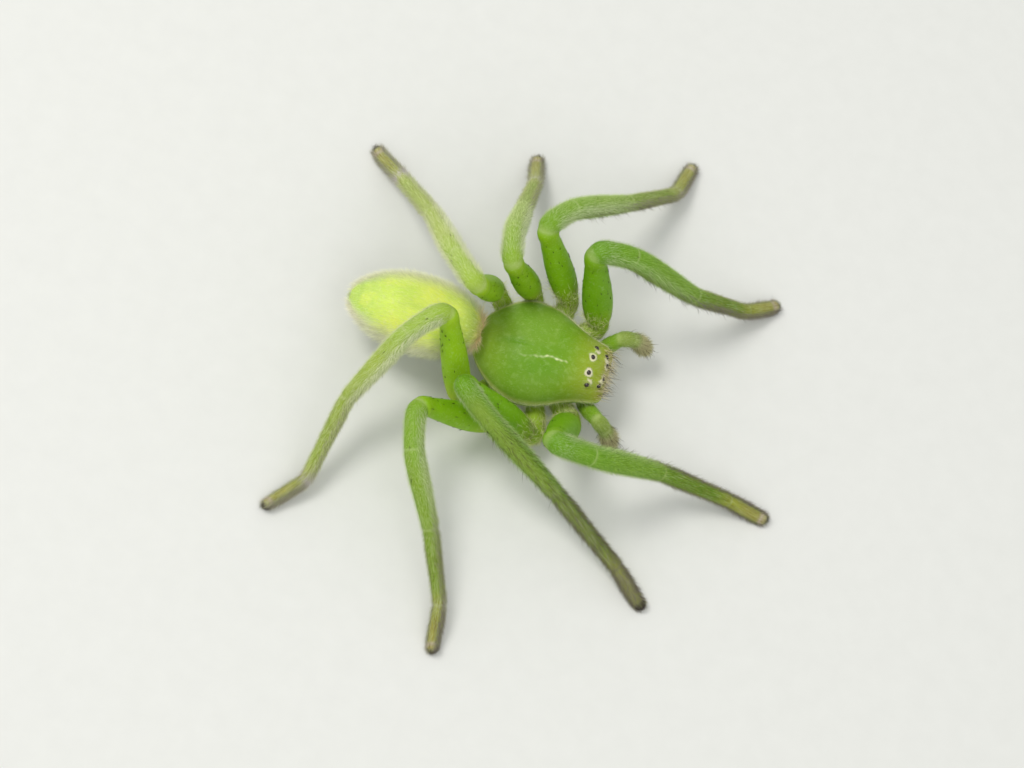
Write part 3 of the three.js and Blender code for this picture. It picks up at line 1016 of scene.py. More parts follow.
@dataclass
class Carapace:
    """The domed shield over head and thorax.

    Attributes:
        axes: How the body lies.
        rim: Height of its lower edge.
        thickness: Thickness of that edge.
        keel: Height of its underside between the leg roots.
        keel_half: Half the width of that underside.
        outline: Half its width along its length.
        crest: Height of its dome along its length.
        eye_sink: How deep the middle of an eye lies under the dome.
        line: Where the painted highlight over the head, a thin pale line over a low ridge, runs aside of the
            middle, along its length.
    """

    axes: BodyAxes
    rim: float = 0.45
    thickness: float = 0.14
    keel: float = -0.3
    keel_half: float = 0.8
    outline: Profile = Profile((
        (-3.6, 0.85), (-3.2, 1.42), (-2.5, 2.1), (-1.7, 2.6), (-0.8, 2.82), (0.1, 2.72), (0.9, 2.42),
        (1.6, 2.08), (2.3, 1.8), (3.1, 1.6), (3.5, 1.42), (3.64, 1.2)))
    crest: Profile = Profile((
        (-3.6, 0.12), (-3.1, 0.45), (-2.3, 1.05), (-1.2, 1.5), (0, 1.62), (1.2, 1.62), (2.1, 1.52),
        (2.8, 1.24), (3.3, 0.82), (3.54, 0.42), (3.64, 0.12)))
    eye_sink: float = 0.05
    line: Profile = Profile(((-1.5, -0.6), (-1.0, -0.58), (-0.2, -0.4), (0.4, -0.28), (1.25, -0.33)))

    ROWS = 190
    TOP = 170
    DOME = 2.3
    SHOULDER = 0.62
    LENS_RISE = 0.04
    RADIAL_GROOVES = ((-0.9, 2.4), (-1.15, -3.2), (-1.4, -1.15))
    TINTS = {
        "base": (0.185, 0.350, 0.009), "shade": (0.145, 0.330, 0.005), "rear": (0.290, 0.46, 0.040),
        "head": (0.315, 0.41, 0.020), "brow": (0.340, 0.36, 0.035), "groove": (0.120, 0.31, 0.008),
        # The dome tint is a painted sheen over the left half of the shield.
        "dome": (0.225, 0.40, 0.045), "flank": (0.245, 0.42, 0.045), "rim": (0.56, 0.62, 0.17),
        # The line tint is a painted highlight over the head.
        "line": (1.0, 1.0, 0.66), "under": (0.20, 0.32, 0.06), "ring": (0.88, 0.84, 0.62),
    }
    DOWN_TINTS = {"base": (0.42, 0.58, 0.20), "head": (0.62, 0.62, 0.34)}
    FRINGE_TINT = (0.78, 0.80, 0.48)
    RING_TINT = (0.90, 0.85, 0.68)
    BROW_TINT = (0.86, 0.76, 0.46)
    BRISTLE_TINT = (0.105, 0.085, 0.045)
    DOWN = Coat(150, 0.13, 0.0095, 11, joints=1)
    FRINGE = Coat(300, 0.26, 0.012, 15, stray=0.45, joints=1)
    RING = Coat(1500, 0.07, 0.011, 12, stray=0.5, joints=1)
    BROW = Coat(80, 0.66, 0.014, 13, bend=0.2, stray=0.45)
    BRISTLES = Coat(38, 0.78, 0.015, 14, bend=0.2, stray=0.45, joints=3)

    def top(self, ahead: Array | float, aside: Array | float) -> Array:
        """Height of the plain dome at a place."""
        share = np.minimum(1, np.abs(aside) / self.outline.at(ahead))
        return self.rim + self.thickness + self.crest.at(ahead) * (1 - share ** self.DOME) ** self.SHOULDER

    def eye_axis(self, eye: Eye, sign: int) -> tuple[Array, Array]:
        """Where an eye sits and looks.

        Args:
            eye: One pair of eyes.
            sign: 1 for the left eye and -1 for the right.

        Returns:
            Its centre and its outward direction, on the body's own axes.
        """
        step = 0.05
        x, y = eye.ahead, sign * eye.aside
        out = unit(np.array([
            float(self.top(x - step, y) - self.top(x + step, y)),
            float(self.top(x, y - step) - self.top(x, y + step)), 2 * step]))
        return np.array([x, y, float(self.top(x, y))]) - self.eye_sink * out, out

    def pale_line(self, x: Array, y: Array) -> Array:
        """The painted highlight over the head: a thin broken pale line.

        Args:
            x: Places ahead.
            y: Places aside.

        Returns:
            1 on the line and 0 away from it.
        """
        wander = 0.025 * np.sin(7.0 * x) + 0.015 * np.sin(19.0 * x)
        broken = 0.55 + 0.45 * np.sin(6.2 * x + 1.2) * np.sin(17.0 * x + 0.4)
        faint = 0.25 + 0.75 * ramp(x, -0.7, -0.1)
        return bell(y, self.line.at(x) + wander, 0.045) * plateau(x, -1.45, -1.2, 1.0, 1.3) * faint * broken

    def relief(self, x: Array, y: Array) -> Array:
        """Grooves, furrows and low ridges over the dome.

        Args:
            x: Places ahead.
            y: Places aside.

        Returns:
            Height to add to the dome.
        """
        side = np.abs(y)
        groove = plateau(x, -2.4, -1.9, -1.1, -0.6)
        # A faint ridge is raised under the painted highlight line.
        height = -0.04 * bell(y, 0.06, 0.09) * groove + 0.02 * self.pale_line(x, y)
        head_edge = 0.12 + 0.72 * np.maximum(0, x + 0.7) ** 0.9
        height -= 0.025 * bell(side, head_edge, 0.16) * ramp(x, -0.8, -0.3) * (1 - ramp(x, 0.9, 1.8))
        for start, slope in self.RADIAL_GROOVES:
            run = np.abs(x - start - side / slope)
            height -= 0.014 * bell(run, 0, 0.18) * ramp(side, 0.3, 0.9) * (1 - ramp(side, 1.5, 2.3))
        for eye in EYES:
            away = np.hypot(x - eye.ahead, side - eye.aside + 1.1 * eye.turned)
            height += (0.05 + 0.9 * eye.turned) * bell(away, 0, eye.radius * (1.9 - 5 * eye.turned))
        return height

    def rings(self) -> tuple[Array, Array]:
        """The white rings round the eyes.

        Returns:
            How white each point of the shield is, and the direction away from the nearest eye.
        """
        white, lean = np.zeros(self.hidden.shape), np.zeros(self.own.shape)
        for eye in EYES:
            inner = 1.05 if eye.turned < 0.05 else 0.1
            outer = 1.55 + 2 * eye.turned
            for side in Side:
                centre, _ = self.eye_axis(eye, side.sign)
                away = self.own - centre + np.array([0, side.sign * 1.1 * eye.turned, 0])
                turn = np.arctan2(away[..., 1] * side.sign, away[..., 0])
                far = np.linalg.norm(away, axis=-1) / eye.radius
                far = far * (1 + 0.07 * np.sin(3 * turn + 4 * eye.ahead))
                here = plateau(far, inner - 0.25, inner, outer, 1.85 + 2 * eye.turned)
                here = here * (1 - eye.gap * ramp(np.sin(turn), -0.3, 0.6)) * eye.shine * (1 - self.hidden)
                white = np.maximum(white, here)
                lean = lean + away * here[..., None]
        return white, lean

    def color(self, x: Array, y: Array) -> Array:
        """Tint of the shield.

        Args:
            x: Places ahead.
            y: Places aside.

        Returns:
            One colour for each point.
        """
        side, share = np.abs(y), np.abs(y) / self.outline.at(x)
        return layered(
            self.TINTS, x.shape,
            shade=0.8 * bell(y, -0.7, 1.0) * bell(x, -0.2, 1.6),
            rear=1 - ramp(x, -3.2, -1.6),
            head=ramp(x, 0.7, 2.7),
            brow=ramp(x, 2.8, 3.4),
            groove=0.6 * bell(y, 0.05, 0.22) * bell(x, -1.7, 0.75),
            # Painted sheen: lighter over the left half, on the side the light comes from.
            dome=0.6 * bell(y, 1.3, 0.9) * bell(x, -0.9, 1.9),
            flank=0.5 * ramp(side, 1.2, 2.2),
            rim=0.85 * np.where(y > 0, ramp(share, 0.90, 0.955), ramp(share, 0.93, 0.985)),
            # Painted highlight: a thin pale streak over the head.
            line=self.pale_line(x, y),
            under=self.hidden,
            ring=self.rings()[0],
        )

    def underside(self, ahead: Array) -> Array:
        """The rim and the closed lower side.

        Args:
            ahead: Place ahead of each row.

        Returns:
            Points on the body's own axes, from the right edge of each row round to the left one.
        """
        half = self.outline.at(ahead)
        rear, front = self.outline.span()
        ends = ramp(ahead, rear + 0.5, rear + 1.6) * (1 - ramp(ahead, front - 1.6, front - 0.7))
        keel_half = np.minimum(self.keel_half, half * 0.5)
        low = self.rim + (self.keel - self.rim) * ends
        bead, lip = self.thickness / 2, half + (keel_half - half) * 0.45
        lines = []
        for angle in np.radians(np.linspace(60, -90, 6)):
            lines.append((half + bead * 0.6 * math.cos(angle), self.rim + bead + bead * math.sin(angle)))
        lines.append((lip, self.rim))
        for way in np.linspace(0, 1, 5)[1:]:
            lines.append((lip + (keel_half - lip) * way, self.rim + (low - self.rim) * ramp(way, 0, 1)))
        lines.append((keel_half * 0.5, low))
        sides = np.array([[aside, np.broadcast_to(height, half.shape)] for aside, height in lines])
        right = np.stack([np.broadcast_to(ahead, sides[:, 0].shape), -sides[:, 0], sides[:, 1]], -1)
        left = right[::-1] * np.array([1, -1, 1])
        return np.concatenate([right, left]).transpose(1, 0, 2)

    def build(self) -> Skin:
        """The whole shield as one skin.

        Returns:
            The skin, its rows from the rear to the front.
        """
        share = np.linspace(0, 1, self.ROWS)
        share = 0.3 - 0.3 * np.cos(np.pi * share) + 0.4 * share
        rear, front = self.outline.span()
        ahead = rear + share * (front - rear)
        turn = np.linspace(1, -1, self.TOP)
        x, across = np.meshgrid(ahead, np.sin(turn * np.pi / 2), indexing="ij")
        y = across * self.outline.at(ahead)[:, None]
        z = self.top(x, y) + self.relief(x, y) * (1 - np.abs(across) ** 8)
        under = self.underside(ahead)
        self.own = np.concatenate([np.stack([x, y, z], -1), under], axis=1)
        self.hidden = np.concatenate([np.zeros(x.shape), np.ones(under.shape[:2])], axis=1)
        back = np.broadcast_to(self.axes.lead([-1, 0, 0]), self.own.shape)
        return Skin(self.axes.place(self.own), back, self.color(self.own[..., 0], self.own[..., 1]))

    def down(self, skin: Skin) -> None:
        """Fine down over the shield and the pale fringe of its rim.

        Args:
            skin: The shield's skin.
        """
        x, y = self.own[..., 0], self.own[..., 1]
        share = np.abs(y) / self.outline.at(x)
        weight = (1 - self.hidden) * (0.35 + 0.65 * ramp(x, 1.4, 3.0)) * (1 - self.rings()[0])
        tint = layered(self.DOWN_TINTS, x.shape, head=ramp(x, 1.6, 3.0))
        self.DOWN.grow("carapace_down", skin, Growth(weight, 0.35, 0.8, tint), Slot.CARAPACE)
        edge = ramp(share, 0.955, 0.995) * (1 - 0.6 * self.hidden) * (1 - ramp(x, 3.3, 3.6))
        edge = edge * (0.45 + 0.55 * ramp(y, 0, 1.5) + 0.4 * bell(x, 1.2, 1.2))
        outward = self.axes.lead(np.stack([0.35 + 0 * x, np.sign(y), 0.25 + 0 * x], -1))
        growth = Growth(edge, 0.45, 1, self.FRINGE_TINT, outward)
        self.FRINGE.grow("carapace_fringe", skin, growth, Slot.CARAPACE)

    def face(self, skin: Skin) -> None:
        """Hair of the eye rings, and the forward hair and bristles over the jaws.

        Args:
            skin: The shield's skin.
        """
        x, side = self.own[..., 0], np.abs(self.own[..., 1])
        ring, lean = self.rings()
        outward = self.axes.lead(lean + np.array([0, 0, 1e-6]))
        self.RING.grow("eye_ring_hair", skin, Growth(ring, 0.5, 1, self.RING_TINT, outward), Slot.CARAPACE)
        forward = self.axes.lead(np.broadcast_to([1.0, 0, -0.05], self.own.shape))
        brow = ramp(x, 2.95, 3.4) * (1 - ramp(side, 1.15, 1.5)) * (1 - self.hidden)
        self.BROW.grow("clypeus_hair", skin, Growth(brow, 0.6, 1, self.BROW_TINT, forward), Slot.CARAPACE)
        growth = Growth(brow + 0.04 * ramp(x, 2.0, 2.6), 0.7, 1, self.BRISTLE_TINT, forward)
        self.BRISTLES.grow("clypeus_bristles", skin, growth, Slot.CARAPACE)

    def dress(self) -> None:
        """Makes the shield, its eyes and its hair."""
        skin = self.build()
        skin.piece("carapace_skin", ShieldFinish(), Slot.CARAPACE, ["carapace"])
        self.down(skin)
        self.face(skin)
        for eye in EYES:
            for side in Side:
                centre, out = self.eye_axis(eye, side.sign)
                centre = centre + self.LENS_RISE * out + np.array([0, side.sign * 0.4 * eye.turned, 0])
                name = f"{eye.name}_{side.value}"
                skin = lens(self.axes.place(centre), eye.radius)
                skin.piece(f"{name}_lens", EyeFinish(), Slot.EYE, [name])


def lens(centre: Array, radius: float) -> Skin:
    """A smooth ball.

    Args:
        centre: Its middle.
        radius: Its radius.

    Returns:
        A skin in the eye's own dark tint.
    """
    rows, columns = 16, 28
    tilt = np.pi * (np.arange(rows) + 1) / (rows + 1)
    turn = 2 * np.pi * np.arange(columns) / columns
    a, b = np.meshgrid(tilt, turn, indexing="ij")
    out = np.stack([np.sin(a) * np.cos(b), np.sin(a) * np.sin(b), np.cos(a)], -1)
    return Skin(centre + radius * out, out, flat((0.016, 0.008, 0.007), out.shape))


@dataclass
class Abdomen:
    """The egg-shaped abdomen behind the shield.

    Attributes:
        axes: How the body lies.
        front: Its front end.
        rear: Its tip.
        half_width: Half its greatest width.
        half_height: Half its greatest height.
        belly: How much flatter its underside is.
        front_height: Height of its middle line at the front.
        rear_height: Height of that line at the tip.
        coat: Depth of its down, which the solid takes in.
        outline: Its girth along its length.
    """

    axes: BodyAxes
    front: float = -3.4
    rear: float = -10.7
    half_width: float = 2.12
    half_height: float = 1.6
    belly: float = 0.9
    front_height: float = 1.5
    rear_height: float = 0.95
    coat: float = 0.12
    outline: Profile = Profile((
        (0, 0.2), (0.03, 0.43), (0.08, 0.6), (0.15, 0.76), (0.24, 0.89), (0.34, 0.97), (0.46, 1),
        (0.6, 0.97), (0.73, 0.87), (0.865, 0.65), (0.97, 0.34), (1, 0.15)))

    ROWS = 120
    COLUMNS = 110
    TINTS = {
        "base": (0.76, 0.91, 0.14), "glow": (0.90, 0.94, 0.14), "tip": (0.50, 0.70, 0.10),
        "cloud": (0.50, 0.72, 0.06), "spots": (0.50, 0.72, 0.08), "mark": (0.42, 0.64, 0.06),
        # The front tint is painted shade at the front end, and the belly tint is painted shade on the front
        # flank and underneath.
        "front": (0.36, 0.46, 0.05), "edge": (0.84, 0.88, 0.50), "belly": (0.27, 0.35, 0.10),
        "root": (0.74, 0.54, 0.30),
    }
    # The belly hair tint is painted shade on the front flank and underneath.
    DOWN_TINTS = {
        "base": (0.90, 0.96, 0.42), "ends": (0.70, 0.86, 0.34), "edge": (0.99, 0.99, 0.82),
        "tip": (0.98, 0.90, 0.80), "belly": (0.36, 0.42, 0.16), "front": (0.86, 0.68, 0.40),
    }
    DOWN = Coat(600, 0.29, 0.011, 21, stray=0.3, joints=1)

    def middle(self, share: Array | float) -> Array:
        """Height of the middle line, at a share of the length."""
        return self.front_height + (self.rear_height - self.front_height) * share

    def under(self, ahead: float) -> float:
        """Height of the underside on the middle line."""
        share = (ahead - self.front) / (self.rear - self.front)
        return self.middle(share) - self.half_height * self.belly * float(self.outline.at(share))

    def build(self) -> Skin:
        """The abdomen's skin.

        Returns:
            The skin, its rows from the front to the tip.
        """
        share = 0.5 - 0.5 * np.cos(np.pi * np.linspace(0.006, 0.994, self.ROWS))
        angle = 2 * np.pi * np.arange(self.COLUMNS) / self.COLUMNS
        s, a = np.meshgrid(share, angle, indexing="ij")
        size = self.outline.at(s)
        lower = np.where(np.sin(a) < 0, self.belly, 1.0)
        sag = 0.03 * np.sin(9 * s + 2 * np.cos(a)) * np.sin(a) ** 2 * size
        length = self.rear - self.front
        x = self.front - self.coat + s * (length + 2 * self.coat)
        y = (self.half_width - self.coat) * size * np.cos(a)
        z = self.middle(s) + (self.half_height - self.coat) * (1 + sag) * size * lower * np.sin(a)
        self.share, self.upper, self.lateral = s, np.sin(a), np.cos(a)
        own = np.stack([x, y, z], -1)
        back = np.broadcast_to(self.axes.lead([-1, 0, 0]), own.shape)
        return Skin(self.axes.place(own), back, self.color())

    def flank(self, height: float) -> Array:
        """The shaded side of the front half, below a height between -1 and 1."""
        return ramp(height - self.upper, 0, 0.35) * (1 - ramp(self.share, 0.5, 0.8))

    def color(self) -> Array:
        """Lemon green above with painted light on top of the front half, a darker heart mark, cream sides,
        painted shade at the front end and on the front flank, and a greyer belly under painted shade.

        Returns:
            One colour for each point.
        """
        s, up, lateral = self.share, self.upper, self.lateral
        aside, heart = np.abs(lateral), 1 - ramp(s, 0.5, 0.7)
        return layered(
            self.TINTS, s.shape,
            # Lighter on top of the front half: its own lemon colour, with painted light on the upper side.
            glow=0.7 * bell(s, 0.34, 0.2) * ramp(up, 0.2, 0.8),
            tip=0.8 * ramp(s, 0.68, 0.95),
            cloud=0.6 * bell(s, 0.62, 0.12) * bell(lateral, 0.35, 0.3),
            spots=0.5 * bell(s, 0.3, 0.1) * bell(aside, 0.6, 0.2),
            mark=0.35 * (bell(lateral, 0, 0.1) * ramp(up, 0.2, 0.6) * ramp(s, 0.1, 0.2) * heart),
            # Painted shade over the front end, between the shield and the legs.
            front=0.85 * (1 - ramp(s, 0.04, 0.24)),
            edge=0.75 * ramp(aside, 0.6, 0.95),
            # Painted shade on the shaded flank of the front half and underneath.
            belly=np.maximum(0.8 * self.flank(0.28), ramp(-up, -0.1, 0.3)),
            root=0.6 * (1 - ramp(s, 0.0, 0.06)),
        )

    def dress(self) -> None:
        """Makes the abdomen's skin and its down."""
        skin = self.build()
        skin.piece("abdomen_skin", AbdomenFinish(), Slot.ABDOMEN, ["abdomen"])
        s, up = self.share, self.upper
        edge, front = 1 - ramp(np.abs(up - 0.15), 0.1, 0.75), 1 - ramp(s, 0.0, 0.1)
        tint = layered(
            self.DOWN_TINTS, s.shape,
            # Darker hair toward the tip, and painted shade on the hair at the front end.
            ends=0.8 * ramp(s, 0.6, 0.9) + 0.8 * (1 - ramp(s, 0.08, 0.26)),
            edge=0.95 * edge,
            tip=0.45 * edge * ramp(s, 0.75, 0.98),
            # Painted shade on the hair of the front flank and underneath.
            belly=np.maximum(0.8 * self.flank(0.1), ramp(-up, 0.3, 0.7)),
            front=0.9 * front,
        )
        growth = Growth(0.65 + 0.35 * edge, 0.4 + 0.6 * edge, 0.75 + 0.65 * edge + 0.3 * front, tint)
        self.DOWN.grow("abdomen_down", skin, growth, Slot.ABDOMEN)


class LimbPath:
    """A line through a few corners, rounded at each, with frames carried along it without twist."""

    FINE = 24
    START = (0.3, 0.5, 0.9)

    def __init__(self, corners: Array, bends: Sequence[float], bend_up: tuple[int, Array]) -> None:
        """Lays the line and its frames.

        Args:
            corners: The corners from root to tip.
            bends: How far from each inner corner its bend starts.
            bend_up: Number of a stretch between two corners, and the way its upper side faces.
        """
        points, self.marks, length = [corners[0]], [], 0.0
        t = np.linspace(0, 1, self.FINE)[:, None]
        for before, here, after, bend in zip(corners, corners[1:], corners[2:], bends):
            back, ahead = here + unit(before - here) * bend, here + unit(after - here) * bend
            curve = back * (1 - t) ** 2 + 2 * here * t * (1 - t) + ahead * t * t
            straight = float(np.linalg.norm(back - points[-1]))
            arc = float(np.linalg.norm(np.diff(curve, axis=0), axis=1).sum())
            self.marks.append(length + straight + arc / 2)
            length += straight + arc
            points.extend(curve)
        line = np.array([*points, corners[-1]])
        steps = np.linalg.norm(np.diff(line, axis=0), axis=1)
        self.line = line[np.concatenate([[True], steps > 1e-9])]
        self.distance = np.concatenate([[0], np.cumsum(steps[steps > 1e-9])])
        self.length = float(self.distance[-1])
        self.carry(bend_up, corners)

    def carry(self, bend_up: tuple[int, Array], corners: Array) -> None:
        """Carries the upper side along the line from the root.

        Args:
            bend_up: Number of a stretch between two corners, and the way its upper side faces.
            corners: The corners from root to tip.
        """
        self.tangents = unit(np.gradient(self.line, self.distance, axis=0))
        up = np.cross(self.tangents[0], np.array(self.START))
        ups = []
        for before, after in zip(np.vstack([self.tangents[:1], self.tangents[:-1]]), self.tangents):
            axis, cosine = np.cross(before, after), float(before @ after)
            up = up * cosine + np.cross(axis, up) + axis * float(axis @ up) / (1 + cosine)
            up = unit(up - after * float(after @ up))
            ups.append(up)
        stretch, wanted = bend_up
        middle = (corners[stretch] + corners[stretch + 1]) / 2
        i = int(np.argmin(np.linalg.norm(self.line - middle, axis=1)))
        sides = np.cross(self.tangents, np.array(ups))
        angle = math.atan2(float(wanted @ sides[i]), float(wanted @ ups[i]))
        self.ups = np.array(ups) * math.cos(angle) + sides * math.sin(angle)

    def read(self, values: Array, places: Array) -> Array:
        """Values of the line at distances along it."""
        return np.stack([np.interp(places, self.distance, values[:, c]) for c in range(3)], -1)

    def at(self, places: Array) -> tuple[Array, Array, Array]:
        """Frames along the line.

        Args:
            places: Distances from the root.

        Returns:
            Centre, tangent and upper side at each.
        """
        tangent, up = unit(self.read(self.tangents, places)), self.read(self.ups, places)
        up = unit(up - tangent * np.einsum("ij,ij->i", tangent, up)[:, None])
        return self.read(self.line, places), tangent, up


@dataclass
class Tube:
    """A round skin along a path.

    Attributes:
        path: The line that it follows.
        spacing: Distance between its rows.
        columns: Points round it.
    """

    path: LimbPath
    spacing: float = 0.08
    columns: int = 36

    CAP = 6
    CAP_END = 82

    def lay(self, radius: Array, places: Array, tint: Array | Color, round_end: bool = True) -> Skin:
        """Lays the skin.

        Args:
            radius: Distance from the line at each row and column, or at each row.
            places: Distance of each row along the line.
            tint: Colour at each row and column, or one for all.
            round_end: Whether its far end is a dome.

        Returns:
            The skin, with its hairs lying towards its far end and its flow for fine lines.
        """
        centre, tangent, up = self.path.at(places)
        side = np.cross(tangent, up)
        a = self.angles()
        radius = self.round(radius) if radius.ndim == 1 else radius
        tint = flat(tint, radius.shape)
        out = np.cos(a)[None, :, None] * up[:, None] + np.sin(a)[None, :, None] * side[:, None]
        rows = centre[:, None] + radius[..., None] * out
        along = np.broadcast_to(tangent[:, None], rows.shape)
        flow = np.stack([self.round(places), radius * np.cos(a), radius * np.sin(a)], -1)
        if round_end:
            swing = np.radians(np.linspace(0, self.CAP_END, self.CAP + 1)[1:])
            ahead = radius[-1].mean() * np.sin(swing)[:, None, None] * tangent[-1]
            cap = centre[-1] + ahead + (np.cos(swing)[:, None] * radius[-1])[..., None] * out[-1]
            rows = np.concatenate([rows, cap])
            along, tint, flow = self.cap(along), self.cap(tint), self.cap(flow)
        return Skin(rows, along, tint, {"flow": flow})

    def round(self, values: Array) -> Array:
        """One value for each row, the same all round it."""
        return np.repeat(values[:, None], self.columns, axis=1)

    def cap(self, values: Array) -> Array:
        """Values of the rows, held over the dome at the far end."""
        return np.concatenate([values, np.repeat(values[-1:], self.CAP, axis=0)])

    def angles(self) -> Array:
        """Angle of each column away from the upper side, from the underside round."""
        return np.pi + 2 * np.pi * np.arange(self.columns) / self.columns

    def places(self, margin: float) -> Array:
        """Distances of the rows, up to a margin before the far end."""
        end = self.path.length - margin
        return np.linspace(0, end, int(end / self.spacing) + 1)


def smoothed(values: Array, reach: int) -> Array:
    """A row of values with its corners rounded over a few neighbours each way."""
    soft = np.hanning(2 * reach + 1)
    return np.convolve(np.pad(values, reach, mode="edge"), soft / soft.sum(), mode="valid")


@dataclass(frozen=True)
class Tone:
    """One colour on the greenest leg and on the palest."""

    green: Color
    pale: Color

    def at(self, share: float) -> Array:
        """The colour of a leg that is so pale."""
        return np.array(self.green) * (1 - share) + np.array(self.pale) * share


@dataclass(frozen=True)
class LegPair:
    """Lengths that both legs of a pair share.

    Attributes:
        root: Where the coxa leaves the breast plate, ahead and aside.
        femur: Length of the femur.
        tibia: Length of patella and tibia.
        metatarsus: Length of the metatarsus.
        tarsus: Length of the tarsus.
        girth: Thickness against that of the second pair.
        tangle: How much loose hair its root has.
    """

    root: tuple[float, float]
    femur: float
    tibia: float
    metatarsus: float
    tarsus: float
    girth: float
    tangle: float


@dataclass(frozen=True)
class LegPose:
    """How one leg stands, how light and how dusky it is, and how much painted light its femur carries.

    Attributes:
        base: Where the femur starts on the body's own axes, ahead and aside.
        femur: Turn and pitch of the femur.
        tibia: Turn and pitch of the tibia.
        metatarsus: Turn and pitch of the metatarsus.
        tarsus: Turn of the tarsus.
        pale: How much lighter the leg is, from 0 to 1.
        dusk: How dark the down of its end is, from 0 to 1.
        bright: Painted light on its femur, as a share of its tint.
    """

    base: tuple[float, float]
    femur: tuple[float, float]
    tibia: tuple[float, float]
    metatarsus: tuple[float, float]
    tarsus: float
    pale: float
    dusk: float
    bright: float


LEG_PAIRS = {
    1: LegPair((1.05, 1.28), 6.28, 7.69, 4.72, 2.4, 1.07, 1.0),
    2: LegPair((0.33, 1.42), 6.8, 8.12, 5.13, 2.5, 1.0, 0.8),
    3: LegPair((-0.62, 1.36), 6.1, 6.43, 3.94, 2.4, 0.96, 0.3),
    4: LegPair((-1.5, 1.1), 6.96, 7.04, 4.79, 2.5, 0.96, 0.2),
}
# The last number of each pose is the painted light on its femur.
LEG_POSES = {
    "l1": LegPose((2.6, 2.7), (144, 66.5), (11, -32.5), (22.5, -37), 37, 0.05, 0.8, 1.3),
    "l2": LegPose((0.75, 3.6), (164.5, 62.5), (48, -33.5), (46, -35.5), 74.5, 0.3, 0.8, 1.4),
    "l3": LegPose((-1.2, 3.4), (-152, 65.5), (86.5, -38), (80, -40.5), 92.5, 0.62, 0.6, 1.25),
    "l4": LegPose((-3.2, 3.0), (-120, 61.5), (120, -35), (122.5, -41.5), 136, 1.0, 0.2, 1.2),
    "r1": LegPose((2.5, 2.65), (112, 53.5), (-15, -29.5), (-5.5, -24.5), 5, 0.03, 1.0, 1.35),
    "r2": LegPose((0.85, 4.1), (180, 42), (25, -23), (28, -19.5), 37, 0.05, 1.0, 1.45),
    "r3": LegPose((-1.25, 4.0), (160, 35.5), (64, -20.5), (63, -23.5), 82, 0.42, 0.7, 1.35),
    "r4": LegPose((-3.3, 3.65), (-136.5, 59), (125.5, -34), (100, -32), 132, 0.9, 0.35, 1.3),
}


